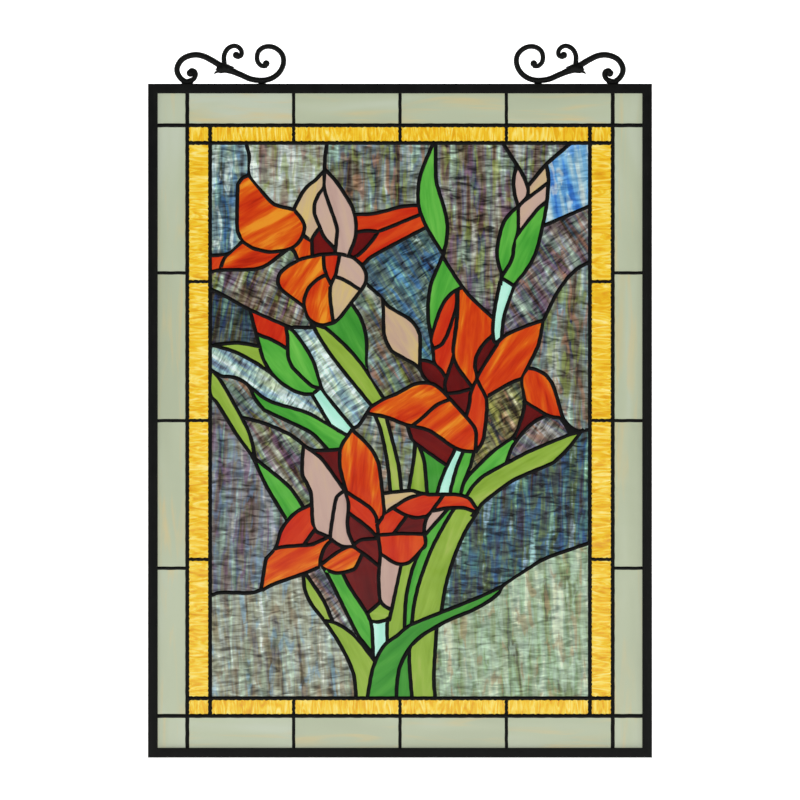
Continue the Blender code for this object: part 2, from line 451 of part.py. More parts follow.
def uncrossed(loop, shortest):
    """The loop itself, or the largest simple loop in it where it crosses itself."""
    for _ in range(4):
        loop = np.round(tidy(loop, 0.02, shortest / 2), 2)
        verts, _, tris = mesh_of([loop])
        if len(verts) == len(loop) or not tris:
            break
        flags = inside(verts[np.array(tris)].mean(1), [loop])
        groups = together([t for t, flag in zip(tris, flags) if flag])
        loop = max((outlines(verts, g)[0] for g in groups), key=lambda found: abs(area(found)))
    return loop


def inset(loop, depth, tolerance=0.12, shortest=0.7):
    """The loops that are left, largest first, when a loop moves inward by the depth."""
    along = np.roll(loop, -1, 0) - loop
    along /= np.maximum(np.hypot(along[:, 0], along[:, 1]), 1e-9)[:, None]
    normal = np.stack([-along[:, 1], along[:, 0]], 1)
    before = np.roll(normal, 1, 0)
    share = np.maximum(1 + (normal * before).sum(1), 0.12)
    moved = loop + (normal + before) * (depth / share)[:, None]
    verts, _, tris = mesh_of([moved])
    if not tris:
        return []
    middle = verts[np.array(tris)].mean(1)
    good = inside(middle, [loop]) & (distance(middle, loop, np.roll(loop, -1, 0)) > 0.97 * depth)
    groups = together([t for t, g in zip(tris, good) if g])
    left = [uncrossed(tidy(outlines(verts, g)[0], tolerance, shortest), shortest) for g in groups]
    return sorted((found for found in left if len(found) > 2 and area(found) > 1), key=lambda found: -area(found))


def rectangle(x0, x1, z0, z1):
    return np.array([(x0, z0), (x1, z0), (x1, z1), (x0, z1)], float)


class Solid:
    """Faces gathered in millimetres, welded by position, then made one object in metres."""

    def __init__(self):
        self.index, self.points, self.faces = {}, [], []

    def at(self, x, y, z):
        key = (round(float(x), 2), round(float(y), 2), round(float(z), 2))
        if key not in self.index:
            self.index[key] = len(self.points)
            self.points.append(key)
        return self.index[key]

    def cap(self, loops, y):
        loops = [np.round(loop, 2) for loop in loops]
        verts, _, tris = mesh_of(loops)
        if len(tris):
            flags = inside(verts[np.array(tris)].mean(1), loops)
            for t, flag in zip(tris, flags):
                if flag:
                    self.faces.append([self.at(verts[i][0], y, verts[i][1]) for i in t])

    def wall(self, loop, y0, y1):
        for a, b in zip(loop, np.roll(loop, -1, 0)):
            self.faces.append([self.at(a[0], y0, a[1]), self.at(b[0], y0, b[1]),
                               self.at(b[0], y1, b[1]), self.at(a[0], y1, a[1])])

    def slab(self, loops, y0, y1):
        self.cap(loops, y0)
        self.cap(loops, y1)
        for loop in loops:
            self.wall(loop, y0, y1)

    def make(self, name, color, rough, see=1.0, metal=0.0):
        mesh = bpy.data.meshes.new(name)
        mesh.from_pydata([(x / 1000, y / 1000, (z - HANG_HEIGHT) / 1000) for x, y, z in self.points], [], self.faces)
        work = bmesh.new()
        work.from_mesh(mesh)
        bmesh.ops.recalc_face_normals(work, faces=work.faces)
        work.to_mesh(mesh)
        work.free()
        obj = bpy.data.objects.new(name, mesh)
        bpy.context.scene.collection.objects.link(obj)
        material = bpy.data.materials.new(name)
        material.use_nodes = True
        shader = material.node_tree.nodes["Principled BSDF"]
        shader.inputs["Base Color"].default_value = (*color, 1)
        shader.inputs["Roughness"].default_value = rough
        shader.inputs["Metallic"].default_value = metal
        shader.inputs["Alpha"].default_value = see
        mesh.materials.append(material)
        return obj


def fitted(points, x_lead, z_low, z_high):
    """Points of the drawing stretched from its own rectangle to the one between the inner leads."""
    p = np.array(points, float).reshape(-1, 2)
    rise = (z_high - z_low) / (DRAWN_HIGH - DRAWN_LOW)
    return np.stack([p[:, 0] * x_lead / DRAWN_HALF, z_low + (p[:, 1] - DRAWN_LOW) * rise], 1)


def picture_panes(x_lead, z_low, z_high):
    """Outlines, along the lead centre lines, of all the panes of the picture."""
    lines = [curve(fitted(points, x_lead, z_low, z_high)) for group in CARTOON for points in group.values()]
    lines += end_links(lines)
    rim = rectangle(-x_lead, x_lead, z_low, z_high)
    lines += [np.array([a, b]) for a, b in zip(rim, np.roll(rim, -1, 0))]
    verts, walls, tris = mesh_of(lines, closed=False)
    panes = []
    for group in absorb_slivers(verts, together(tris, walls)):
        loop = outlines(verts, group)[0]
        middle = verts[list(group[0])].mean(0)
        if abs(middle[0]) < x_lead and z_low < middle[1] < z_high and abs(area(loop)) > SMALLEST_PANE:
            panes.append(tidy(loop, 0.02, 0.05))
    return panes


def absorb_slivers(verts, groups):
    """The groups of triangles, each sliver joined to the neighbour it shares most edge with."""
    size = [sum(abs(area(verts[list(t)])) for t in group) for group in groups]
    owner = {(t[i], t[(i + 1) % 3]): number for number, group in enumerate(groups) for t in group for i in range(3)}
    for number in np.argsort(size):
        if size[number] > SLIVER:
            break
        shared = {}
        for t in groups[number]:
            for i in range(3):
                a, b = t[i], t[(i + 1) % 3]
                other = owner.get((b, a), number)
                if other != number:
                    shared[other] = shared.get(other, 0) + np.hypot(*(verts[a] - verts[b]))
        if shared:
            best = max(shared, key=shared.get)
            for t in groups[number]:
                owner.update({(t[i], t[(i + 1) % 3]): best for i in range(3)})
            groups[best] = groups[best] + groups[number]
            groups[number] = []
    return [group for group in groups if group]


def end_links(lines):
    """Short links from each line's two ends to the other lines within reach of them."""
    links = []
    for one in lines:
        for end, inner in ((one[0], one[1]), (one[-1], one[-2])):
            for other in lines:
                if other is one or np.abs(other - end).sum(1).min() > 60:
                    continue
                a, along = other[:-1], np.diff(other, axis=0)
                t = np.clip(((end - a) * along).sum(1) / np.maximum((along ** 2).sum(1), 1e-9), 0, 1)
                near = a + t[:, None] * along
                away = np.hypot(*(near - end).T)
                best = int(np.argmin(away))
                if away[best] < LINK_REACH:
                    onward = near[best] - (end if away[best] > 0.02 else inner)
                    links.append(np.array([end, near[best] + 0.1 * onward / np.hypot(*onward)]))
    return links


def frame_solid():
    """The welded channel, its section swept round the four mitred corners."""
    half, deep, slot = FRAME_DEPTH / 2, FRAME_FACE, LEAD_DEPTH / 2 + GAP
    section = [(0, -half), (deep, -half), (deep, -slot), (deep - CHANNEL_DEPTH, -slot),
               (deep - CHANNEL_DEPTH, slot), (deep, slot), (deep, half), (0, half)]
    solid = Solid()
    rings = [(rectangle(s - PANEL_WIDTH / 2, PANEL_WIDTH / 2 - s, s, PANEL_HEIGHT - s), y) for s, y in section]
    for (near, y0), (far, y1) in zip(rings, rings[1:] + rings[:1]):
        for i in range(4):
            j = (i + 1) % 4
            solid.faces.append([solid.at(near[i][0], y0, near[i][1]), solid.at(near[j][0], y0, near[j][1]),
                                solid.at(far[j][0], y1, far[j][1]), solid.at(far[i][0], y1, far[i][1])])
    return solid


def hanger_outline():
    """Outline loops of the scrolls, feet and balls drawn as one flat shape."""
    shapes = []
    for name, points in SCROLLS.items():
        path = curve(points) if len(points) > 2 else np.array(points, float)
        width = THICK.get(name, HANGER_BAR)
        for a, b in zip(path, path[1:]):
            side = np.array([a[1] - b[1], b[0] - a[0]])
            side *= width / 2 / np.hypot(*side)
            shapes.append(np.array([a - side, b - side, b + side, a + side]))
        if width == HANGER_BAR:
            shapes += [disc(x, z, width / 2) for x, z in path]
    shapes += [disc(x, z, r) for x, z, r in BALLS]
    floor = DRAWN_TOP + GAP
    below = rectangle(-2 * DRAWN_END, 0, floor - HANGER_BAR * 3, floor)
    verts, _, tris = mesh_of(shapes + [below])
    middle = verts[np.array(tris)].mean(1)
    solid = np.zeros(len(middle), bool)
    for shape in shapes:
        solid |= inside(middle, [shape])
    solid &= middle[:, 1] > floor
    kept = max(together([t for t, s in zip(tris, solid) if s]), key=len)
    loops = [tidy(loop, 0.12, 0.4) for loop in outlines(verts, kept) if abs(area(loop)) > 0.5]
    return [uncrossed(loop, 0.4) + (DRAWN_END - PANEL_WIDTH / 2, PANEL_HEIGHT - DRAWN_TOP) for loop in loops]


def disc(x, z, r, sides=10):
    turn = np.arange(sides) * math.tau / sides + 0.1
    return np.stack([x + r * np.cos(turn), z + r * np.sin(turn)], 1)


def build():
    for obj in list(bpy.data.objects):
        bpy.data.objects.remove(obj, do_unlink=True)
    half_lead, front = LEAD_WIDTH / 2, LEAD_DEPTH / 2
    x_out, x_in = PANEL_WIDTH / 2 - IVORY_SIDE, PANEL_WIDTH / 2 - IVORY_SIDE - AMBER_SIDE
    low_out, low_in = IVORY_END, IVORY_END + AMBER_END
    high_out, high_in = PANEL_HEIGHT - low_out, PANEL_HEIGHT - low_in
    x_edge = PANEL_WIDTH / 2 - FRAME_FACE + CHANNEL_DEPTH - GAP
    low_edge = FRAME_FACE - CHANNEL_DEPTH + GAP
    rim = rectangle(-x_edge, x_edge, low_edge, PANEL_HEIGHT - low_edge)
    x_rim, low_rim = x_edge + half_lead - RIM, low_edge - half_lead + RIM
    high_rim = PANEL_HEIGHT - low_rim

    frame_solid().make("frame", BLACK, 0.45, metal=0.6)
    loops = hanger_outline()
    for name, sign in (("hanger_left", 1), ("hanger_right", -1)):
        bar = Solid()
        bar.slab([loop * (sign, 1) for loop in loops], -HANGER_DEPTH / 2, HANGER_DEPTH / 2)
        bar.make(name, BLACK, 0.45, metal=0.6)

    border = {}
    for end, a, b, c, d in (("bottom", low_rim, low_out, low_out, low_in), ("top", high_out, high_rim, high_in, high_out)):
        border["ivory_" + end] = rectangle(-x_out, x_out, a, b)
        border["amber_" + end] = rectangle(-x_in, x_in, c, d)
        for side, s in (("left", -1), ("right", 1)):
            left, right = sorted((s * x_rim, s * x_out))
            border["ivory_" + end + "_" + side] = rectangle(left, right, a, b)
            left, right = sorted((s * x_out, s * x_in))
            border["amber_" + end + "_" + side] = rectangle(left, right, c, d)
    for side, s in (("left", -1), ("right", 1)):
        left, right = sorted((s * x_rim, s * x_out))
        border["ivory_" + side] = rectangle(left, right, low_out, high_out)
        left, right = sorted((s * x_out, s * x_in))
        border["amber_" + side] = rectangle(left, right, low_in, high_in)

    through, pockets, glass = [], [], []
    for name, loop in border.items():
        hole = inset(loop, half_lead)[0]
        through.append(hole)
        glass.append((name, name.split("_")[0], hole))
    wanted = {name: (kind, fitted((x, z), x_in, low_in, high_in)) for name, (kind, x, z) in PANES.items()}
    holes = [hole for pane in picture_panes(x_in, low_in, high_in) for hole in inset(pane, half_lead)]
    for hole in holes:
        if area(hole) < SMALLEST_PANE:
            continue
        names = [name for name, (_, spot) in wanted.items() if inside(spot, [hole])[0]]
        if names:
            through.append(hole)
            glass.append((names[0], wanted.pop(names[0])[0], hole))
        else:
            pockets.append(hole)

    web = Solid()
    web.cap([rim] + through + pockets, -front)
    web.cap([rim] + through, front)
    for loop in [rim] + through:
        web.wall(loop, -front, front)
    for loop in pockets:
        web.wall(loop, -front, POCKET_DEPTH - front)
        web.cap([loop], POCKET_DEPTH - front)
    web.make("lead_web", BLACK, 0.5, metal=0.3)

    for name, kind, hole in glass:
        piece = Solid()
        piece.slab([inset(hole, GAP, 0.02, 0.25)[0]], -GLASS_DEPTH / 2, GLASS_DEPTH / 2)
        piece.make(name, GLASS[kind], 0.2)
    print("panes", len(through), "pockets", len(pockets), "not found", sorted(wanted))


build()
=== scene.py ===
# %% [markdown]
# # A hanging stained glass panel
# The panel is a black metal frame, a net of soldered leads, and some 150 panes of glass, hung by
# two scrolls.  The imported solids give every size.  The pane outlines are read back from the front
# face of the lead web, so the picture is drawn once, in the part's source.  Here the panes become
# rippled glass, the leads become rounded solder, and the frame and scrolls get soft edges.

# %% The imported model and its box
import json
import math

import bpy
import numpy as np
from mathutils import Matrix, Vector, kdtree
from mathutils.geometry import delaunay_2d_cdt


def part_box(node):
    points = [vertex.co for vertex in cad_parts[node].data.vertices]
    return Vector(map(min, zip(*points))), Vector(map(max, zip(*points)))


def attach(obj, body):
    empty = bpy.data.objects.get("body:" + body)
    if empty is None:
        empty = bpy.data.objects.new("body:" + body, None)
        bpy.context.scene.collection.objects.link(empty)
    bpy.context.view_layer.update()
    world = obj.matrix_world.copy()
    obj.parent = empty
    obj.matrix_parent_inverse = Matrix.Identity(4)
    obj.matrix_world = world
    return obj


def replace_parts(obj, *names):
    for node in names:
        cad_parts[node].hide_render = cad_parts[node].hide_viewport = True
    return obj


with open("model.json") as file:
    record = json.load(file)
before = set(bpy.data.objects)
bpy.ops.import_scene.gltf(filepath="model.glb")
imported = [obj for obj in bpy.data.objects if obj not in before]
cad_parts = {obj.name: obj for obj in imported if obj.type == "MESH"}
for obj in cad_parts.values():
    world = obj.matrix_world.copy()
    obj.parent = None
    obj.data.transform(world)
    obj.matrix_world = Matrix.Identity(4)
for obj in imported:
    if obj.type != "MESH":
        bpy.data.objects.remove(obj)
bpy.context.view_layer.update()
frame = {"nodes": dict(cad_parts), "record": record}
NODES = frame["nodes"]

LOW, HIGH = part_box("frame")
WIDTH, HEIGHT = (HIGH.x - LOW.x) * 1000, (HIGH.z - LOW.z) * 1000
FOOT = LOW.z * 1000  # the frame's lower edge in millimetres of the row frame
rng = np.random.default_rng(7)

# %% [markdown]
# ## Outlines of the panes
# Each pane was cut to a paper pattern, so its outline is all there is to its shape.  The outlines
# could be drawn again here.  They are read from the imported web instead, so that both models agree.
# Everything below is in millimetres, x from the centre line and z up from the frame's foot.

# %% Reading the outlines from the front face of the lead web
FLAT = 0.05  # a point this near the front plane lies on it


def front_loops(obj):
    """Boundary loops of the faces that lie on a node's front plane."""
    mesh = obj.data
    co = np.zeros(len(mesh.vertices) * 3)
    mesh.vertices.foreach_get("co", co)
    co = co.reshape(-1, 3) * 1000
    _, first, same = np.unique(np.round(co, 2), axis=0, return_index=True, return_inverse=True)
    same = same.ravel()
    front = co[:, 1].min()
    sides = set()
    for face in mesh.polygons:
        corners = [int(same[i]) for i in face.vertices]
        if max(abs(co[i][1] - front) for i in face.vertices) < FLAT:
            sides.update(zip(corners, corners[1:] + corners[:1]))
    step = {a: b for a, b in sides if (b, a) not in sides}
    loops = []
    while step:
        start = next(iter(step))
        chain, here = [], start
        while here in step:
            chain.append(here)
            here = step.pop(here)
        loops.append(co[first[chain]][:, [0, 2]] - (0, FOOT))
    return loops


def area(loop):
    """Signed area of a closed loop, positive when it runs anticlockwise."""
    x, z = loop.T
    return 0.5 * float(np.sum(x * np.roll(z, -1) - z * np.roll(x, -1)))


def inside(point, loop):
    """True where a point lies in a closed loop."""
    x, z = point
    a, b = loop, np.roll(loop, -1, 0)
    spans = (a[:, 1] > z) != (b[:, 1] > z)
    rise = np.where(b[:, 1] == a[:, 1], 1, b[:, 1] - a[:, 1])
    return bool(np.sum(spans & (x < a[:, 0] + (z - a[:, 1]) * (b[:, 0] - a[:, 0]) / rise)) % 2)


web_loops = [loop if area(loop) > 0 else loop[::-1] for loop in front_loops(NODES["lead_web"])]
web_loops.sort(key=lambda loop: -area(loop))
RIM, holes = web_loops[0], web_loops[1:]
print("outlines", len(holes), "rim", RIM.min(0), RIM.max(0))

# %% [markdown]
# The web's outlines have a point every few millimetres.  A cutter's line is a smooth curve between
# sharp corners, and a little unsteady.  A Catmull-Rom curve passes through every given point, so
# it keeps the outline where it was.  A border strip is four panes, so its outline is cut in four.

# %% Smooth and slightly unsteady curves through the outline's points
def smooth(loop, step, corner=40):
    """Points every step along Catmull-Rom curves through the loop, turning sharply only at its corners."""
    into = loop - np.roll(loop, 1, 0)
    out = np.roll(loop, -1, 0) - loop
    turn = np.degrees(np.arctan2(into[:, 0] * out[:, 1] - into[:, 1] * out[:, 0], (into * out).sum(1)))
    sharp = [i for i in range(len(loop)) if abs(turn[i]) > corner] or [0]
    runs = []
    for first, last in zip(sharp, sharp[1:] + [sharp[0] + len(loop)]):
        p = loop[np.arange(first, last + 1) % len(loop)]
        q = np.vstack([2 * p[0] - p[1], p, 2 * p[-1] - p[-2]])
        if len(sharp) == 1 and abs(turn[sharp[0]]) <= corner:
            q[0], q[-1] = p[-2], p[1]
        for a, b, c, d in zip(q, q[1:], q[2:], q[3:]):
            count = max(1, round(np.hypot(*(c - b)) / step))
            t = (np.arange(count) / count)[:, None]
            runs.append(0.5 * (2 * b + (c - a) * t + (2 * a - 5 * b + 4 * c - d) * t ** 2
                               + (3 * b - a - 3 * c + d) * t ** 3))
    return np.vstack(runs)


def rectangle(x0, x1, z0, z1):
    """The four corners, anticlockwise from the lower left."""
    return np.array([(x0, z0), (x1, z0), (x1, z1), (x0, z1)], float)


def wobble(loop, size, pitch):
    """The loop with each point moved by two sums of sines of its place, as a hand-cut edge is."""
    x, z = loop.T / pitch
    sideways = np.sin(2.1 * x + 3.7 * z) + np.sin(5.3 * z + 1.1)
    upwards = np.sin(3.1 * x - 1.9 * z) + np.sin(4.7 * x)
    return loop + np.stack([sideways, upwards], 1) * size / 2


# %% The outline of each pane, and the solid that lies in it
SEAM = 3.0  # width of the leads between the four panes of a border strip
SEAMS_ACROSS = (-96.5, 0.0, 96.5)  # their centre lines
SEAMS_UP = {"ivory": (171.6, 305.5, 439.5), "amber": (179.6, 305.6, 431.6)}
STRIP = 60.0  # a border pane longer than this is a strip of four
STEP = 1.8  # distance between the points of a smoothed outline
AMBER_EDGE, IVORY_EDGE, PICTURE_EDGE = (0.42, 3.1), (0.12, 9.0), (0.12, 7.0)  # a wobble's size and pitch

panes = []  # each: glass node or None, outline
METAL_NODES = ("frame", "lead_web", "hanger_left", "hanger_right")
probe = {name: front_loops(NODES[name])[0][0] for name in NODES if name not in METAL_NODES}
for hole in holes:
    owners = [name for name, spot in probe.items() if inside(spot, hole)]
    name = owners[0] if owners else None
    if name and name.startswith(("ivory", "amber")):
        kind = name.split("_")[0]
        (x0, z0), (x1, z1) = hole.min(0), hole.max(0)
        if x1 - x0 > STRIP:
            cuts = [x0 - SEAM / 2, *SEAMS_ACROSS, x1 + SEAM / 2]
            parts = [rectangle(a + SEAM / 2, b - SEAM / 2, z0, z1) for a, b in zip(cuts, cuts[1:])]
        elif z1 - z0 > STRIP:
            cuts = [z0 - SEAM / 2, *SEAMS_UP[kind], z1 + SEAM / 2]
            parts = [rectangle(x0, x1, a + SEAM / 2, b - SEAM / 2) for a, b in zip(cuts, cuts[1:])]
        else:
            parts = [hole]
        edge = AMBER_EDGE if kind == "amber" else IVORY_EDGE
        panes += [(name, wobble(smooth(part, STEP), *edge)) for part in parts]
    else:
        panes.append((name, wobble(smooth(hole, STEP), *PICTURE_EDGE)))
print("panes", len(panes), "with a solid", sum(name is not None for name, _ in panes))

# %% [markdown]
# ## One triangle net for leads and glass
# On the real panel, solder and glass meet along every edge.  Two meshes made apart would leave
# slits of light there, so both are cut from one net of triangles.  Its points are the pane
# outlines, rings of points on the solder either side of them, and a loose grid inside the panes.
# One constrained triangulation of all of them is then flooded from outline to outline, which
# gives the lead region and the panes with matching edges.

# %% How far a point is from any outline
HALF = 1.8  # the solder rises over this distance from a pane's edge
RINGS = (0.45, 1.0, 1.7)  # distances of the rings of points from a pane's edge
GRID, JITTER, CLEAR = 4.0, 0.8, 2.2  # pitch of the loose grid, its unevenness and its room to any edge
edge_points = np.vstack([loop for _, loop in panes])
between = np.vstack([(loop + np.roll(loop, -1, 0)) / 2 for _, loop in panes])
tree = kdtree.KDTree(2 * len(edge_points))
for i, (x, z) in enumerate(np.vstack([edge_points, between])):
    tree.insert((x, z, 0), i)
tree.balance()


def reach(x, z):
    """Distance from a point to the nearest point of any outline."""
    return tree.find((x, z, 0))[2]


# %% Points and triangles
MARGIN = 1.0  # room between the rings' points and the rim
INSET = 3.0  # the loose grid starts this far inside the rim
RIM_STEP = 6.0  # distance between the points of the rim
NEARLY = 0.93  # a ring's point is left out where another outline is nearer than this share of the ring
CELL = 0.8  # the outermost ring keeps one point for each square of this size
rim_low, rim_high = RIM.min(0), RIM.max(0)
points = list(map(tuple, edge_points))
links = []
start = 0
for _, loop in panes:
    n = len(loop)
    links += [(start + i, start + (i + 1) % n) for i in range(n)]
    start += n
rim_line = smooth(RIM, RIM_STEP)
links += [(start + i, start + (i + 1) % len(rim_line)) for i in range(len(rim_line))]
points += list(map(tuple, rim_line))
taken = set()
for ring in RINGS:
    for _, loop in panes:
        along = np.roll(loop, -1, 0) - np.roll(loop, 1, 0)
        along /= np.maximum(np.hypot(*along.T), 1e-9)[:, None]
        out = loop + np.stack([along[:, 1], -along[:, 0]], 1) * ring
        within = ((out > rim_low + MARGIN) & (out < rim_high - MARGIN)).all(1)
        for x, z in out[within]:
            cell = (round(x / CELL), round(z / CELL)) if ring == RINGS[-1] else (x, z)
            if cell not in taken and reach(x, z) > ring * NEARLY:
                taken.add(cell)
                points.append((x, z))
for x in np.arange(rim_low[0] + INSET, rim_high[0], GRID):
    for z in np.arange(rim_low[1] + INSET, rim_high[1], GRID):
        spot = (x + rng.uniform(-JITTER, JITTER), z + rng.uniform(-JITTER, JITTER))
        if reach(*spot) > CLEAR:
            points.append(spot)
verts, lines, tris, _, kept, _ = delaunay_2d_cdt([Vector(p) for p in points], links, [], 0, 1e-5)
verts = np.array([tuple(v) for v in verts])
tris = np.array([tuple(t) for t in tris])
print("points", len(verts), "triangles", len(tris))

# %% Flooding the net into the lead region and the panes
walls = {tuple(sorted(line)) for line, came in zip(lines, kept) if came}
owner = {}
for number, t in enumerate(tris.tolist()):
    for a, b in ((t[0], t[1]), (t[1], t[2]), (t[2], t[0])):
        owner.setdefault((min(a, b), max(a, b)), []).append(number)
label = np.full(len(tris), -1)
groups = []
for first in range(len(tris)):
    if label[first] >= 0:
        continue
    label[first] = len(groups)
    front, group = [first], []
    while front:
        number = front.pop()
        group.append(number)
        t = tris[number].tolist()
        for a, b in ((t[0], t[1]), (t[1], t[2]), (t[2], t[0])):
            edge = (min(a, b), max(a, b))
            if edge not in walls:
                for other in owner[edge]:
                    if label[other] < 0:
                        label[other] = len(groups)
                        front.append(other)
    groups.append(np.array(group))
centres = verts[tris].mean(1)
groups.sort(key=len, reverse=True)
lead_group = groups[0]
pane_group = {}
for group in groups[1:]:
    spot = centres[group[0]]
    for index, (_, loop) in enumerate(panes):
        if loop[:, 0].min() < spot[0] < loop[:, 0].max() and inside(spot, loop):
            pane_group.setdefault(index, []).append(group)
print("groups", len(groups), "panes found", len(pane_group))

# %% [markdown]
# ## Plates
# Leads and panes are both flat things with two worked faces.  A plate is a set of the net's
# triangles seen from the front at one height field and from the back at another, with walls
# between them where it ends.  A displacement modifier could lift the faces too, but here the
# height is known for every point of the net at once.

# %% The ripples of hand-rolled glass
def ripples(xy, angle, seed, size):
    """Height in mm of hand-rolled glass: a product of two slow sines plus a finer sine of along."""
    along = xy @ np.array([math.sin(angle), math.cos(angle)]) + 40 * seed
    across = xy @ np.array([math.cos(angle), -math.sin(angle)]) + 17 * seed
    slow = np.sin(along / 9.1 + 0.6 * np.sin(across / 13)) * np.sin(across / 11.3 + seed)
    return size * (0.6 * slow + 0.4 * np.sin(along / 2.3 + 1.7 * np.sin(across / 7.7)))


# %% Making plates
PLATE_SHARP = 50  # an edge that turns by more degrees than this is shaded sharp


def plate(name, parts, material, slot):
    """One object from parts of (triangle numbers, front y, back y, u, v, tone).

    Each of y, u and v is an array over all the net's points.  The front is the triangles at the
    front y, the back is the same ones turned over at the back y, and a wall stands on each edge
    that only one of them uses.
    """
    points, uv, tone, faces, start = [], [], [], [], 0
    for numbers, front, back, u, v, shade in parts:
        used, local = np.unique(tris[numbers], return_inverse=True)
        local, n = local.reshape(-1, 3), len(used)
        x, z = verts[used].T
        points += [np.stack([x, y[used], z + FOOT], 1) for y in (front, back)]
        uv += [np.stack([u[used], v[used]], 1)] * 2
        tone.append(np.full(2 * n, shade))
        a, b = local.ravel(), np.roll(local, -1, 1).ravel()
        alone = ~np.isin(a * n + b, b * n + a)
        a, b = a[alone], b[alone]
        sides = np.stack([b, a, n + a, n + b], 1)
        for some in (local, local[:, ::-1] + n, sides):
            faces += (some + start).tolist()
        start += 2 * n
    mesh = bpy.data.meshes.new(name)
    mesh.from_pydata((np.vstack(points) / 1000).tolist(), [], faces)
    loops = np.zeros(len(mesh.loops), int)
    mesh.loops.foreach_get("vertex_index", loops)
    layer = mesh.uv_layers.new(name="UVMap")
    layer.data.foreach_set("uv", np.vstack(uv)[loops].astype(np.float32).ravel())
    shades = mesh.attributes.new("tone", "FLOAT", "POINT")
    shades.data.foreach_set("value", np.concatenate(tone).astype(np.float32))
    mesh.polygons.foreach_set("use_smooth", [len(face) == 3 for face in faces])
    mesh.set_sharp_from_angle(angle=math.radians(PLATE_SHARP))
    mesh.materials.append(material)
    obj = bpy.data.objects.new(name, mesh)
    bpy.context.scene.collection.objects.link(obj)
    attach(obj, "root")
    return obj


# %% [markdown]
# ## Materials
# Every look here is noise, stretched and coloured.  Nodes could be linked one by one.  A small
# class stands for a socket instead, so that shader sums read like arithmetic, and a second one
# makes the nodes that the glass and the metal share.

# %% Shader arithmetic
def linear(r, g, b):
    """A display colour of 0 to 255 as linear light."""
    return tuple(((c / 255 + 0.055) / 1.055) ** 2.4 if c > 10 else c / 3294.6 for c in (r, g, b))


class Wire:
    """A number in a material, with arithmetic."""

    def __init__(self, tree, socket):
        self.tree, self.socket = tree, socket

    def math(self, kind, *others):
        """This number and the others through the Math node of the kind named."""
        node = self.tree.nodes.new("ShaderNodeMath")
        node.operation = kind
        for place, value in zip(node.inputs, (self, *others)):
            if isinstance(value, Wire):
                self.tree.links.new(value.socket, place)
            else:
                place.default_value = value
        return Wire(self.tree, node.outputs[0])

    def __add__(self, other):
        return self.math("ADD", other)

    def __sub__(self, other):
        return self.math("SUBTRACT", other)

    def __rsub__(self, other):
        return self * -1 + other

    def __mul__(self, other):
        return self.math("MULTIPLY", other)

    def step(self, low, high):
        """0 below low, 1 above high and smooth between them."""
        node = self.tree.nodes.new("ShaderNodeMapRange")
        node.interpolation_type = "SMOOTHSTEP"
        self.tree.links.new(self.socket, node.inputs["Value"])
        node.inputs["From Min"].default_value = low
        node.inputs["From Max"].default_value = high
        return Wire(self.tree, node.outputs[0])


class Paint:
    """A material under way: its shader and the nodes that feed it."""

    def __init__(self, name, rough, metal=0.0, coat=0.0, specular=0.5):
        self.material = bpy.data.materials.new(name)
        self.material.use_nodes = True
        self.tree = self.material.node_tree
        self.shader = self.tree.nodes["Principled BSDF"]
        self.shader.inputs["Roughness"].default_value = rough
        self.shader.inputs["Metallic"].default_value = metal
        self.shader.inputs["Coat Weight"].default_value = coat
        self.shader.inputs["Coat Roughness"].default_value = 0.08
        self.shader.inputs["Specular IOR Level"].default_value = specular

    def node(self, kind, settings, values):
        """A node of a kind with its settings, and a value or a link on each input named."""
        node = self.tree.nodes.new("ShaderNode" + kind)
        for key, value in settings.items():
            setattr(node, key, value)
        for key, value in values.items():
            socket = value.socket if isinstance(value, Wire) else value
            if isinstance(socket, bpy.types.NodeSocket):
                self.tree.links.new(socket, node.inputs[key])
            else:
                node.inputs[key].default_value = value
        return node

    def noise(self, scale, detail=3.0, rough=0.5, twist=0.0, source="UV"):
        """Noise of 0 to 1, stretched along each axis of the UV map in cm or the object in metres."""
        place = self.node("TexCoord", {}, {}).outputs[source]
        scaled = self.node("VectorMath", {"operation": "MULTIPLY"}, {0: place, 1: scale}).outputs[0]
        values = {"Vector": scaled, "Scale": 1.0, "Detail": detail, "Roughness": rough, "Distortion": twist}
        return Wire(self.tree, self.node("TexNoise", {}, values).outputs["Fac"])

    def tone(self):
        """The number of 0 to 1 that each pane has for itself."""
        return Wire(self.tree, self.node("Attribute", {"attribute_name": "tone"}, {}).outputs["Fac"])

    def ramp(self, value, stops):
        """The colour at a number's place between stops of (place, display colour)."""
        node = self.node("ValToRGB", {}, {0: value})
        elements = node.color_ramp.elements
        while len(elements) < len(stops):
            elements.new(0.5)
        for element, (place, color) in zip(elements, stops):
            element.position = place
            element.color = (*linear(*color), 1)
        return node.outputs["Color"]

    def even_ramp(self, value, colors):
        """The same with the colours spread evenly over 0 to 1."""
        return self.ramp(value, [(i / (len(colors) - 1), color) for i, color in enumerate(colors)])

    def mix(self, factor, below, above):
        """A colour from a socket, covered by another colour as far as the factor says."""
        over = (*linear(*above), 1) if isinstance(above, tuple) else above
        return self.node("Mix", {"data_type": "RGBA"}, {0: factor, 6: below, 7: over}).outputs[2]

    def lighten(self, color, amount):
        """The colour times a number, the same for all three channels."""
        return self.node("VectorMath", {"operation": "SCALE"}, {0: color, "Scale": amount}).outputs[0]

    def finish(self, color, glow=0.0, bump=None, strength=0.2, depth=0.0003):
        """The material with its colour, its share of light from behind and its bump in metres."""
        self.tree.links.new(color, self.shader.inputs["Base Color"])
        if glow:
            self.tree.links.new(color, self.shader.inputs["Emission Color"])
            self.shader.inputs["Emission Strength"].default_value = glow
        if bump is not None:
            node = self.node("Bump", {}, {"Strength": strength, "Distance": depth, "Height": bump})
            self.tree.links.new(node.outputs[0], self.shader.inputs["Normal"])
        return self.material


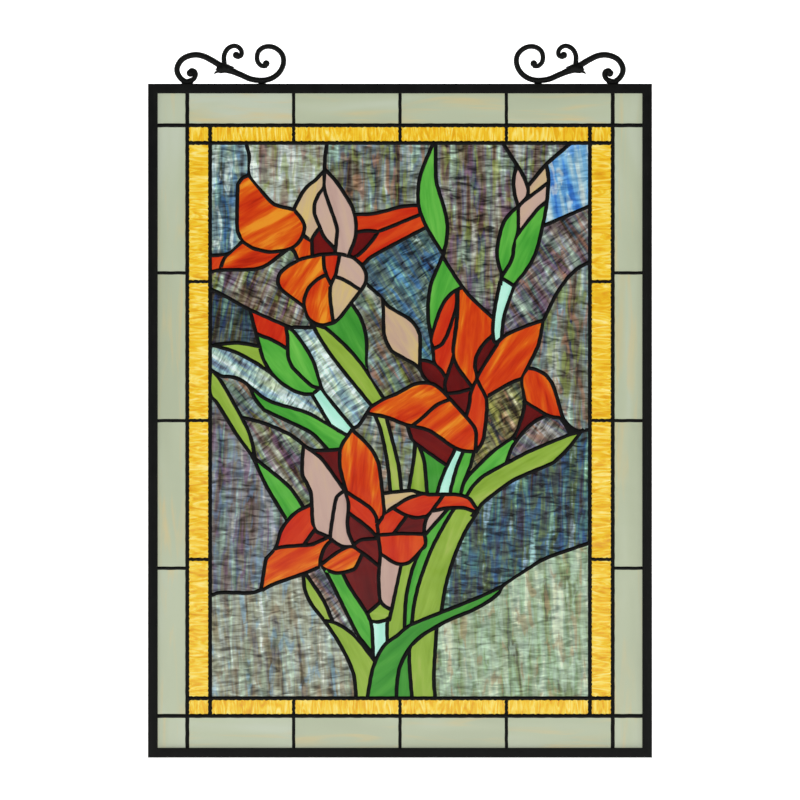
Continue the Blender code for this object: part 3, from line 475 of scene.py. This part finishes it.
# %% [markdown]
# ## Glass
# Opalescent glass scatters light, so a hung panel looks lit from within even in front of a white
# wall.  Real transmission needs bright lamps behind and many samples.  A weak glow in the glass's
# own colour gives the same look quickly.  Petals and leaves are one hue with soft streaks.  The
# background is many colours stirred together, crossed by ripples whose light and shade are painted
# into its colour.

# %% The glass of petals and leaves
GLOW = 0.57  # light that comes through the glass from behind


def petal_glass(name, colors, contrast=1.0):
    """Opalescent glass in one hue: soft streaks between the colours given, darkest first."""
    paint = Paint(name, 0.16, coat=0.1, specular=0.25)
    broad = paint.noise((0.9, 0.16, 1), 2.0, 0.5, 0.6)
    fine = paint.noise((5.0, 0.45, 1), 3.0, 0.6, 0.3)
    value = (broad - 0.5) * 2.1 * contrast + (fine - 0.5) * 0.6 * contrast + 0.42 + paint.tone() * 0.3
    return paint.finish(paint.even_ramp(value, colors), GLOW, fine, 0.12)


# %% The glass of the background
HUES = [(0.05, (56, 34, 44)), (0.27, (82, 54, 44)), (0.4, (102, 102, 58)), (0.5, (88, 90, 88)),
        (0.6, (56, 78, 132)), (0.75, (86, 128, 122)), (0.95, (146, 190, 166))]


def streaky_glass(name, colors, accents, ripple_light_and_shade, hues=0.34):
    """Rippled glass of many colours.

    Broad streaks run along v, and ripples cross them along u every few millimetres, their light and shade
    painted into the colour.
    The colour is a ramp of the streaks, mixed with HUES, with patches of the two accents.
    """
    paint = Paint(name, 0.16, coat=0.12, specular=0.3)
    streak = paint.noise((1.1, 0.11, 1), 2.0, 0.5, 0.5)
    thread = paint.noise((2.3, 0.32, 1), 1.0, 0.5, 0.4)
    ridge = paint.noise((0.8, 2.9, 1), 1.0, 0.45, 0.8)
    patch = paint.noise((1.3, 0.35, 1), 2.0, 0.6, 0.6)
    spread = paint.noise((1.55, 0.16, 1), 1.0, 0.5, 0.5)
    value = (streak - 0.5) * 2.6 + (thread - 0.5) * 0.8 + (ridge - 0.5) * 0.5
    color = paint.even_ramp(value + (paint.tone() - 0.5) * 0.16 + 0.5, colors)
    color = paint.mix(hues, color, paint.ramp((spread - 0.5) * 2.4 + 0.5, HUES))
    color = paint.mix(patch.step(0.54, 0.66) * 0.55, color, accents[0])
    color = paint.mix((1 - patch).step(0.55, 0.66) * 0.6, color, accents[1])
    # painted light and shade: the colour is brightened and darkened along the ripples and threads
    light = (ridge - 0.5) * 7.0 * ripple_light_and_shade + (thread - 0.5) * 1.4 * ripple_light_and_shade + 0.98
    return paint.finish(paint.lighten(color, light.math("MAXIMUM", 0.16)), GLOW, ridge, 0.25, 0.0005)


# %% A palette for each glass, from its darkest colour to its lightest
PETALS = {  # the colours, then how far the streaks spread over them
    "orange": ([(158, 28, 4), (184, 44, 8), (193, 60, 10), (202, 88, 14), (216, 136, 34)], 1.0),
    "red": ([(164, 24, 8), (181, 36, 12), (190, 52, 16), (199, 72, 22)], 0.8),
    "deep_red": ([(68, 6, 8), (84, 9, 10), (96, 12, 12), (106, 16, 12)], 0.8),
    "pink": ([(168, 138, 127), (177, 148, 137), (183, 155, 142), (187, 160, 136)], 0.7),
    "peach": ([(172, 144, 126), (180, 152, 130), (188, 164, 124), (196, 172, 108)], 0.8),
    "green": ([(50, 134, 42), (66, 150, 50), (84, 164, 60), (104, 176, 72)], 0.8),
    "dark_green": ([(40, 116, 36), (52, 130, 42), (62, 140, 48), (78, 152, 56)], 0.8),
    "lime": ([(108, 142, 42), (124, 155, 52), (135, 165, 62), (154, 170, 82)], 0.8),
    "aqua": ([(142, 206, 184), (160, 218, 198), (174, 226, 208), (192, 232, 218)], 1.0),
}
BLUE, GRASS, PLUM, TAN, MILK = (50, 104, 158), (122, 136, 60), (98, 70, 98), (138, 98, 74), (190, 202, 196)
STREAKS = {  # the colours, two accents, the strength of the ripples' painted light and shade and, for some, the share of HUES
    "bark": ([(36, 24, 18), (74, 58, 48), (110, 98, 88), (128, 134, 118), (164, 170, 160)],
             (GRASS, PLUM), 0.5),
    "moss": ([(38, 32, 18), (84, 78, 46), (114, 108, 66), (136, 132, 90), (178, 176, 138)],
             ((146, 148, 72), TAN), 0.55, 0.12),
    "plum": ([(34, 26, 30), (72, 58, 60), (106, 92, 98), (120, 118, 106), (158, 160, 158)],
             (PLUM, TAN), 0.5),
    "olive": ([(46, 36, 30), (86, 82, 68), (108, 116, 104), (118, 136, 134), (168, 176, 164)],
              (GRASS, TAN), 0.42),
    "mist": ([(110, 86, 78), (146, 142, 118), (164, 174, 160), (172, 184, 178), (204, 210, 200)],
             (GRASS, (150, 120, 110)), 0.3, 0.2),
    "water": ([(40, 54, 58), (80, 110, 122), (108, 142, 150), (132, 158, 140), (186, 208, 204)],
              (BLUE, MILK), 0.4),
    "tide": ([(14, 24, 36), (34, 74, 100), (54, 92, 102), (84, 116, 102), (158, 184, 182)],
             (BLUE, (56, 76, 82)), 0.55),
    "navy": ([(6, 8, 10), (12, 20, 32), (22, 28, 20), (32, 44, 30), (64, 78, 72)],
             ((26, 40, 78), (34, 52, 34)), 0.5),
    "dusk": ([(12, 14, 20), (28, 54, 80), (42, 80, 78), (66, 94, 52), (120, 148, 158)],
             ((38, 76, 118), (46, 42, 54)), 0.55),
    "haze": ([(60, 54, 48), (96, 86, 88), (114, 112, 106), (116, 124, 130), (156, 158, 156)],
             ((84, 110, 136), PLUM), 0.4),
    "azure": ([(40, 106, 190), (82, 146, 202), (110, 166, 204), (150, 186, 202), (184, 206, 208)],
              ((60, 126, 204), MILK), 0.16, 0.12),
    "ice": ([(80, 90, 104), (112, 138, 160), (138, 174, 170), (170, 194, 180), (198, 214, 210)],
            ((104, 134, 176), (160, 176, 130)), 0.36, 0.2),
    "meadow": ([(96, 104, 76), (126, 148, 104), (144, 166, 136), (154, 172, 146), (188, 198, 170)],
               ((164, 186, 166), (150, 130, 96)), 0.24, 0.16),
    "brook": ([(78, 70, 58), (122, 118, 96), (144, 148, 128), (160, 170, 154), (198, 206, 196)],
              ((110, 146, 168), (128, 112, 88)), 0.34, 0.22),
}
GLASS = {kind: petal_glass(kind + "_glass", *spec) for kind, spec in PETALS.items()}
GLASS |= {kind: streaky_glass(kind + "_glass", *spec) for kind, spec in STREAKS.items()}
print("glass of the picture", len(GLASS))


# %% The glass of the borders, and the black metals
def ivory_glass():
    """Grey-green opalescent glass with faint warm streaks along each pane."""
    paint = Paint("ivory_glass", 0.15, coat=0.3)
    broad = paint.noise((0.35, 0.05, 1), 2.0, 0.5, 0.5)
    warm = paint.noise((0.8, 0.09, 1), 3.0, 0.55, 0.8)
    stops = [(0.3, (167, 175, 149)), (0.5, (173, 181, 155)), (0.7, (180, 188, 168))]
    base = paint.ramp(broad + (paint.tone() - 0.5) * 0.25, stops)
    color = paint.mix(warm.step(0.5, 0.78) * 0.75, base, (196, 180, 130))
    return paint.finish(color, GLOW, broad, 0.05)


def amber_glass():
    """Yellow glass with wavy ripples across the strip and tiny dark specks."""
    paint = Paint("amber_glass", 0.2, coat=0.3)
    wave = paint.noise((0.3, 1.5, 1), 2.0, 0.5, 2.6)
    broad = paint.noise((0.5, 0.6, 1), 2.0, 0.5, 1.0)
    speck = paint.noise((5.0, 5.0, 1), 1.0, 0.5)
    stops = [(0.0, (204, 140, 12)), (0.3, (220, 168, 20)), (0.5, (228, 188, 40)),
             (0.72, (234, 206, 90)), (1.0, (240, 222, 140))]
    # the colour follows the ripples' wave: deeper and paler yellow bands of the glass itself, with the palest
    # stops on the crests a painted highlight
    color = paint.ramp((wave - 0.5) * 1.7 + (broad - 0.5) * 0.5 + 0.5, stops)
    color = paint.mix(speck.step(0.77, 0.82) * 0.6, color, (140, 80, 14))
    return paint.finish(color, GLOW, wave, 0.35, 0.0006)


def black_metal(name, color, rough, depth):
    """Blackened metal: a little brighter and smoother in patches, with a fine pitted bump."""
    paint = Paint(name, rough, metal=0.2, specular=0.22)
    patch = paint.noise((60, 60, 60), 4.0, 0.6, 0.4, "Object")
    pits = paint.noise((900, 900, 900), 3.0, 0.6, 0.0, "Object")
    lighter = tuple(channel + 9 for channel in color)
    duller = (patch - 0.5) * 0.5 + rough
    paint.tree.links.new(duller.socket, paint.shader.inputs["Roughness"])
    surface = patch * 0.7 + pits * 0.3
    return paint.finish(paint.ramp(patch, [(0.35, color), (0.7, lighter)]), 0.0, surface, depth)


GLASS["ivory"] = ivory_glass()
GLASS["amber"] = amber_glass()
LEAD = black_metal("solder_black", (9, 9, 9), 0.45, 0.35)
METAL = black_metal("satin_black", (15, 16, 15), 0.5, 0.15)
print("materials", len(GLASS) + 2)

# %% [markdown]
# ## The glass of each pane
# Each line names a glass, then points in the panes cut from it as (x, z, lean), where lean
# is the streaks' angle from upright in degrees.  A petal or leaf with no lean has its
# streaks along its length.

# %% Which glass goes where
PICKS = {
    "orange": [(-122, 485, 60), (-140, 452, 75), (-92, 433, 35), (-74, 412, 15), (-88, 461), (60, 385, 5),
               (100, 365, 38), (10, 320, 62), (42, 300, 50), (127, 332, -10), (-37, 262, 8), (-95, 178, 62),
               (-52, 178, 62)],
    "red": [(-169, 448), (-62, 448), (-9, 489), (-5, 473), (-120, 391, 20), (41, 398), (40, 362),
            (71, 315, 10), (-35, 222), (-95, 208, 40), (15, 228, 70), (50, 232, 80), (-6, 213, 30),
            (0, 190, 0)],
    "deep_red": [(-62, 267), (-72.6, 465), (-38, 467), (79, 365), (30, 349), (50, 341), (55, 324),
                 (25, 287), (115, 310), (12, 210), (-36, 205), (-25, 190), (-78, 199.5), (-62, 188),
                 (-33, 160)],
    "pink": [(-70, 492), (-52.7, 492), (-45, 443), (109, 517), (118, 499), (-72, 240), (-54, 215),
             (30, 215), (-11, 155)],
    "peach": [(-86, 500), (-53, 418), (2, 380), (125, 522), (0, 235)],
    "green": [(-113, 358), (-92, 366), (-82, 304), (-110, 243), (28, 500), (36, 425), (97, 470), (115, 465),
              (55, 256), (85, 269), (-45, 140), (15, 165)],
    "dark_green": [(-42, 380), (30, 262), (-5, 95), (4, 75)],
    "lime": [(-45, 356), (-140, 370), (-156, 318), (110, 265), (16, 260), (-6, 263), (-19, 130), (-77, 145),
             (-40, 95), (20, 90), (35, 175), (-1, 140)],
    "aqua": [(-62, 312), (91, 408), (45, 258), (-19, 110)],
    "water": [(-158, 520, 0)],
    "tide": [(0, 440, -32)],
    "navy": [(-155, 395, 8)],
    "azure": [(155, 520, -8)],
    "ice": [(-55, 330, -35), (-125, 345, -58)],
    "bark": [(65, 500, 0), (125, 548, 0), (-135, 425, 20), (-108, 275, -35)],
    "moss": [(90, 310, -30)],
    "plum": [(150, 465, -35), (-63, 145, -35), (125, 295, -50)],
    "olive": [(-20, 530, 0), (150, 350, 3), (-15, 355, -30), (-140, 322, -40), (-25, 300, 10), (2, 285, 5)],
    "mist": [(-110, 535, 0)],
    "dusk": [(120, 225, 2)],
    "haze": [(-150, 220, 2)],
    "brook": [(-130, 110, -4)],
    "meadow": [(120, 110, -3)],
}


def long_way(loop):
    """Angle from upright, in radians, of the long axis of a loop's points by their second moments."""
    x, z = (loop - loop.mean(0)).T
    return math.pi / 2 - 0.5 * math.atan2(2 * (x * z).mean(), (x ** 2).mean() - (z ** 2).mean())


# %% Building the panes
WAVES = {"ivory": 0.05, "amber": 0.22, "orange": 0.07, "red": 0.07,
         "deep_red": 0.07, "pink": 0.06, "peach": 0.06}  # height of the ripples in mm
OTHER_WAVE = 0.16
OBLONG = 1.2  # a border pane wider than this times its height has its streaks lying down
HALF_GLASS = 1.25  # half the thickness of the glass, without its ripples
spots = [(kind, *spot) for kind, places in PICKS.items() for spot in places]
by_piece = {}
for index, (node, loop) in enumerate(panes):
    here = [spot for spot in spots if inside(spot[1:3], loop)]
    if node and node.startswith(("ivory", "amber")):
        kind = node.split("_")[0]
        wide, tall = np.ptp(loop, axis=0)
        angle = math.pi / 2 if wide > tall * OBLONG else 0.0
    elif here:
        kind, *spot = here[0]
        angle = math.radians(spot[2]) if len(spot) > 2 else long_way(loop)
    else:
        kind, angle = "bark", 0.0
    if len(here) > 1 or not (node or here):
        print("glass named", len(here), "times at", np.round(loop.mean(0)).tolist())
    size = WAVES.get(kind, OTHER_WAVE)
    seed = rng.uniform(0, 9)
    front = -HALF_GLASS - ripples(verts, angle, seed, size)
    back = HALF_GLASS + ripples(verts, angle, seed + 3, size * 0.6)
    # the UV map is in cm, and the seed moves it so that no two panes show the same noise
    across = verts @ np.array([math.cos(angle), -math.sin(angle)]) / 10 + seed * 31
    along = verts @ np.array([math.sin(angle), math.cos(angle)]) / 10 + seed * 57
    pane = (np.concatenate(pane_group[index]), front, back, across, along, rng.uniform(0, 1))
    by_piece.setdefault((node or "small_" + kind + "_panes", kind, node), []).append(pane)

# %% [markdown]
# A pane that is a solid of the imported part takes that solid's place.  The small
# panes are pockets of the web there, so here they are added, one piece for each glass.

# %% The pieces of glass
NEAR = {"pink": "cream", "peach": "cream", "deep_red": "red", "aqua": "green", "bark": "brook",
        "moss": "brook", "olive": "brook", "plum": "brook", "mist": "brook", "haze": "brook",
        "dusk": "water", "azure": "water", "tide": "water", "navy": "water", "ice": "water"}
slots = {sub["node"]: sub["material_slot"] for sub in frame["record"]["subparts"]}
for (key, kind, node), parts in by_piece.items():
    if node:
        piece = plate(node + "_pane", parts, GLASS[kind], slots[node])
        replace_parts(piece, node)
    else:
        plate(key, parts, GLASS[kind], NEAR.get(kind, kind) + "_glass")
print("glass pieces", len(by_piece))

# %% [markdown]
# ## The solder
# Solder is run over each lead as a bead, round on top and a little lumpy.  A swept section would
# tear where several leads meet.  A height field over the net's lead region closes every joint by
# itself: it follows a quarter circle from the pane's edge to the middle of the lead.

# %% The leads, front and back
EDGE_HALF = 1.15  # half the depth of a lead at a pane's edge
BEAD, LUMP = 0.92, 0.18  # how far the bead stands above its edge, and the lumps on it
CHANNEL, HALF_SLOT = 3.0, 2.6  # how deep the frame's channel is, and half its width
IN_CHANNEL, CHANNEL_HALF = 3.2, 2.1  # nearer than this to the rim, a lead's half depth is held to this

distance = np.array([reach(x, z) for x, z in verts])
rise = np.sqrt(np.clip(1 - (1 - np.clip(distance / HALF, 0, 1)) ** 2, 0, 1))
x, z = verts.T
lump = np.sin(x / 2.9 + 1.3 * np.sin(z / 4.3)) + np.sin(z / 3.3 + 1.1 * np.sin(x / 5.1))
lump = 0.5 + 0.25 * lump  # from 0 to 1, with a sine along each axis bent by one across it
bead = EDGE_HALF + rise * (BEAD + LUMP * lump)
covered = np.abs(x) > rim_high[0] - IN_CHANNEL
covered |= (z < rim_low[1] + IN_CHANNEL) | (z > rim_high[1] - IN_CHANNEL)
bead = np.where(covered, np.minimum(bead, CHANNEL_HALF), bead)
leads = plate("solder_and_leads", [(lead_group, -bead, bead, x / 10, z / 10, 0.5)], LEAD, "dark_lead")
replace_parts(leads, "lead_web")
print("lead triangles", 2 * len(lead_group))

# %% [markdown]
# ## The frame and its scrolls
# The frame is a channel of black metal that grips the panel's edge, mitred at the corners.  A box
# with a bevel modifier would do for the outside.  Sweeping the section round four corners gives
# the slot as well, and clean mitres.  A scroll is a bar that was bent hot.  Here it is rings of
# points along a smooth path, because each bar thins or swells on its way.

# %% A skin over rings of points
def skin(count, around, closed=False):
    """Faces between count rings of points, each with the same number of points around.

    Where the last ring doesn't join the first again, a face closes each end.
    """
    i, j = np.mgrid[:count if closed else count - 1, :around]
    after, k = (i + 1) % count, (j + 1) % around
    quads = [around * i + j, around * i + k, around * after + k, around * after + j]
    faces = np.stack(quads, -1).reshape(-1, 4).tolist()
    if not closed:
        last = around * (count - 1)
        faces += [list(range(around))[::-1], list(range(last, last + around))]
    return faces


METAL_SHARP = 38  # the same for the frame and the scrolls


def solid(name, points, faces):
    """A piece of black metal from points in metres, smooth except at sharp edges."""
    mesh = bpy.data.meshes.new(name)
    mesh.from_pydata(points.tolist(), [], faces)
    mesh.polygons.foreach_set("use_smooth", [True] * len(faces))
    mesh.set_sharp_from_angle(angle=math.radians(METAL_SHARP))
    mesh.materials.append(METAL)
    obj = bpy.data.objects.new(name, mesh)
    bpy.context.scene.collection.objects.link(obj)
    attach(obj, "root")
    return obj


# %% The frame
GAP = 0.3  # between the panel's rim and the bottom of the channel
DEPTH = (HIGH.y - LOW.y) * 1000
FACE = WIDTH / 2 - (rim_high[0] - CHANNEL + GAP)
ROUND, SMALL = 1.0, 0.6  # radius of the outer edges and of the edges beside the glass


def arc(s, y, first, radius):
    """Five points of a quarter circle about (s, y), from an angle in degrees on."""
    turn = np.radians(np.linspace(first, first + 90, 5))
    return np.stack([s + radius * np.cos(turn), y + radius * np.sin(turn)], 1)


half = DEPTH / 2
slot_line = [(FACE, -HALF_SLOT), (FACE - CHANNEL, -HALF_SLOT), (FACE - CHANNEL, HALF_SLOT), (FACE, HALF_SLOT)]
section = np.vstack([
    arc(ROUND, ROUND - half, 180, ROUND),
    arc(FACE - SMALL, SMALL - half, 270, SMALL),
    slot_line,
    arc(FACE - SMALL, half - SMALL, 0, SMALL),
    arc(ROUND, half - ROUND, 90, ROUND),
])  # each point: how far in from the outer face, and y
inward, y = section.T
side, top = np.array([(-1, 0), (1, 0), (1, 1), (-1, 1)]).T
across = side * (WIDTH / 2 - inward[:, None])
up = FOOT + np.where(top, HEIGHT - inward[:, None], inward[:, None])
corners = np.stack([across, np.repeat(y[:, None], 4, 1), up], -1).reshape(-1, 3)
ring = solid("frame_channel", corners / 1000, skin(len(section), 4, closed=True))
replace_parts(ring, "frame")
print("frame face", round(FACE, 2), "depth", round(DEPTH, 2))

# %% The scrolls: paths in mm for the left hanger, with the bar's thickness at each end
BARS = [
    ([(-194.3, 612.8), (-198.8, 616), (-201.9, 621), (-202.1, 626.4), (-198.8, 632.3), (-193.4, 635.9),
      (-186.1, 637.5), (-178.8, 636.4), (-171.6, 633), (-164.3, 628.6), (-158.5, 625)], 4.6, 5.4),
    ([(-192, 613.5), (-187.6, 615.4), (-185.5, 619.2), (-186.3, 622.4), (-189.4, 623.6),
      (-191.4, 621.6)], 4.4, 3.4),
    ([(-158.3, 624), (-159.6, 631), (-159.6, 637), (-157.3, 642), (-153.7, 644.8), (-150, 645.6),
      (-146.3, 644.2), (-143.8, 640.7), (-144.2, 637), (-147.2, 635.4)], 4.2, 3.8),
    ([(-160, 624.2), (-152, 622.3), (-144.4, 619.4), (-136.2, 615.8), (-128.5, 614.4), (-121, 614.8),
      (-114.4, 617.4), (-109, 622.3), (-105.9, 629.2), (-106.3, 636.4), (-110.3, 641.8), (-116.2, 644.8),
      (-122.6, 644.7), (-127.8, 641.4), (-129.7, 636.4), (-129, 631), (-125.7, 627.6),
      (-122, 627.2)], 5.2, 3.8),
]
LOBES = [
    ([(-157, 625), (-163.5, 623.6), (-168.6, 620.6)], 8.0, 0.6),
    ([(-157, 625.4), (-163, 625.2), (-167.2, 624.3)], 6.6, 0.6),
    ([(-161, 624.6), (-156, 626.4), (-151, 626.2)], 6.4, 0.6),
    ([(-163, 624.6), (-156, 624.2), (-146, 620.2)], 7.8, 4.6),
]
BALLS = [(-190.4, 620.9, 3.5, 3.5), (-148.6, 637.2, 3.3, 3.3), (-121.4, 629.6, 3.2, 3.2),
         (-159, 625.4, 4.4, 4.3), (-193, 612.8, 5.8, 2.9), (-125.3, 613.2, 4.5, 2.6)]

# %% Bars and blobs
THICKER = 0.45  # the photo's bars are this much thicker than the widths above
PER_SPAN = 6  # rings between two named points of a path
FLOOR = HEIGHT + 0.05  # the scrolls stop just above the frame


def bar(path, first, last, around=16):
    """Points and faces of a round bar along a smooth curve through a path in the panel's plane.

    Each ring stands square to the curve.  Two smaller rings past either end round it off.
    """
    p = np.array(path, float)
    q = np.vstack([2 * p[0] - p[1], p, 2 * p[-1] - p[-2]])
    a, b, c, d = (q[i:i + len(p) - 1, None] for i in range(4))
    t = (np.arange(PER_SPAN) / PER_SPAN)[:, None]
    curve = 0.5 * (2 * b + (c - a) * t + (2 * a - 5 * b + 4 * c - d) * t ** 2
                   + (3 * b - a - 3 * c + d) * t ** 3)
    line = np.vstack([curve.reshape(-1, 2), p[-1:]])
    along = np.gradient(line, axis=0)
    along /= np.hypot(*along.T)[:, None]
    radius = (np.linspace(first, last, len(line)) + THICKER) / 2
    n = len(line)
    at = np.r_[0, 0, np.arange(n), n - 1, n - 1]
    ahead = np.r_[-0.85, -0.5, np.zeros(n), 0.5, 0.85]
    share = np.r_[0.5, 0.85, np.ones(n), 0.85, 0.5]
    centre = line[at] + along[at] * (ahead * radius[at])[:, None]
    turn = np.arange(around) * math.tau / around
    aside = np.outer(radius[at] * share, np.cos(turn))
    depth = np.outer(radius[at] * share, np.sin(turn))
    x = centre[:, :1] - along[at][:, 1:] * aside
    z = centre[:, 1:] + along[at][:, :1] * aside
    return np.stack([x, depth, z], -1).reshape(-1, 3), skin(len(at), around)


def ball(x, z, wide, tall, around=18, rings=10):
    """Points and faces of a round blob, as deep as it is tall, from rings of latitude."""
    lift = np.radians(np.linspace(-88, 88, rings))[:, None]
    turn = np.arange(around) * math.tau / around
    level = np.cos(lift)
    blob = [x + wide * level * np.cos(turn), tall * np.sin(lift) + 0 * turn, z + tall * level * np.sin(turn)]
    return np.stack(blob, -1).reshape(-1, 3), skin(rings, around)


# %% The two hangers, the right one a mirror image
pieces = [bar(*spec) for spec in BARS + LOBES] + [ball(*spec) for spec in BALLS]
for side, node in ((1, "hanger_left"), (-1, "hanger_right")):
    faces, start = [], 0
    for some, sides in pieces:
        faces += [[start + i for i in (face if side < 0 else face[::-1])] for face in sides]
        start += len(some)
    x, y, z = np.vstack([some for some, _ in pieces]).T
    points = np.stack([side * x, y, np.maximum(z, FLOOR) + FOOT], 1) / 1000
    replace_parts(solid(node + "_scroll", points, faces), node)
print("scrolls", len(points), "points each")

# %% [markdown]
# ## Stage, light and camera
# The photograph has a plain white ground and almost no shadow.  Two planes that glow a little give
# the ground.  Three large lamps are kept weak, because the glass brings its own light and should
# only catch a faint sheen.  The camera looks straight at the panel from far off, as the photograph does.

# %% Stage
def stage_plane(name, size, place, turn, glow):
    """A dull white rectangle that glows a little and isn't part of the panel."""
    mesh = bpy.data.meshes.new(name)
    x, y = size[0] / 2, size[1] / 2
    mesh.from_pydata([(-x, -y, 0), (x, -y, 0), (x, y, 0), (-x, y, 0)], [], [(0, 1, 2, 3)])
    obj = bpy.data.objects.new(name, mesh)
    obj.location, obj.rotation_euler = place, turn
    paint = bpy.data.materials.new(name)
    paint.use_nodes = True
    shader = paint.node_tree.nodes["Principled BSDF"]
    shader.inputs["Base Color"].default_value = (0.9, 0.9, 0.9, 1)
    shader.inputs["Roughness"].default_value = 0.9
    shader.inputs["Emission Color"].default_value = (1, 1, 1, 1)
    shader.inputs["Emission Strength"].default_value = glow
    mesh.materials.append(paint)
    bpy.context.scene.collection.objects.link(obj)


FLOOR_DROP = 70.0  # the floor lies this far below the frame
stage_plane("floor", (22, 22), (0, 0, (FOOT - FLOOR_DROP) / 1000), (0, 0, 0), 0.6)
stage_plane("backdrop", (22, 16), (0, 4.8, 1.0), (math.pi / 2, 0, 0), 1.05)
print("stage: a floor and a backdrop")

# %% Light
world = bpy.data.worlds.new("studio")
bpy.context.scene.world = world
world.use_nodes = True
background = world.node_tree.nodes["Background"]
background.inputs["Color"].default_value = (1, 1, 1, 1)
background.inputs["Strength"].default_value = 0.15
MIDDLE = Vector((0, 0, -0.35))  # where the lamps point


def lamp(name, place, power, size):
    """A square lamp at a place in metres, turned to the middle of the panel."""
    light = bpy.data.lights.new(name, "AREA")
    light.energy, light.size = power, size
    obj = bpy.data.objects.new(name, light)
    obj.location = place
    obj.rotation_euler = (MIDDLE - Vector(place)).to_track_quat("-Z", "Y").to_euler()
    bpy.context.scene.collection.objects.link(obj)
    print("lamp", name, power, "W")


lamp("key", (-1.8, -2.0, 1.2), 4.5, 1.2)
lamp("fill", (2.2, -1.8, 0.2), 2, 1.4)
lamp("behind", (0.6, 1.9, 0.9), 4, 1.6)

# %% Camera
MM_PER_PIXEL = 0.9076
PHOTO_SIDE = 800  # pixels
SENSOR = 36  # mm
VIEW_CENTRE = 324.2  # height of the photograph's middle above the frame's foot
DISTANCE = 3.2  # m
camera = bpy.data.objects.new("camera", bpy.data.cameras.new("camera"))
camera.data.lens = SENSOR * DISTANCE / (PHOTO_SIDE / 1000 * MM_PER_PIXEL)
camera.location = (0, -DISTANCE, (VIEW_CENTRE + FOOT) / 1000)
camera.rotation_euler = (math.pi / 2, 0, 0)
bpy.context.scene.collection.objects.link(camera)
bpy.context.scene.camera = camera
bpy.context.scene.view_settings.view_transform = "Standard"
print("lens", round(camera.data.lens, 1), "mm")
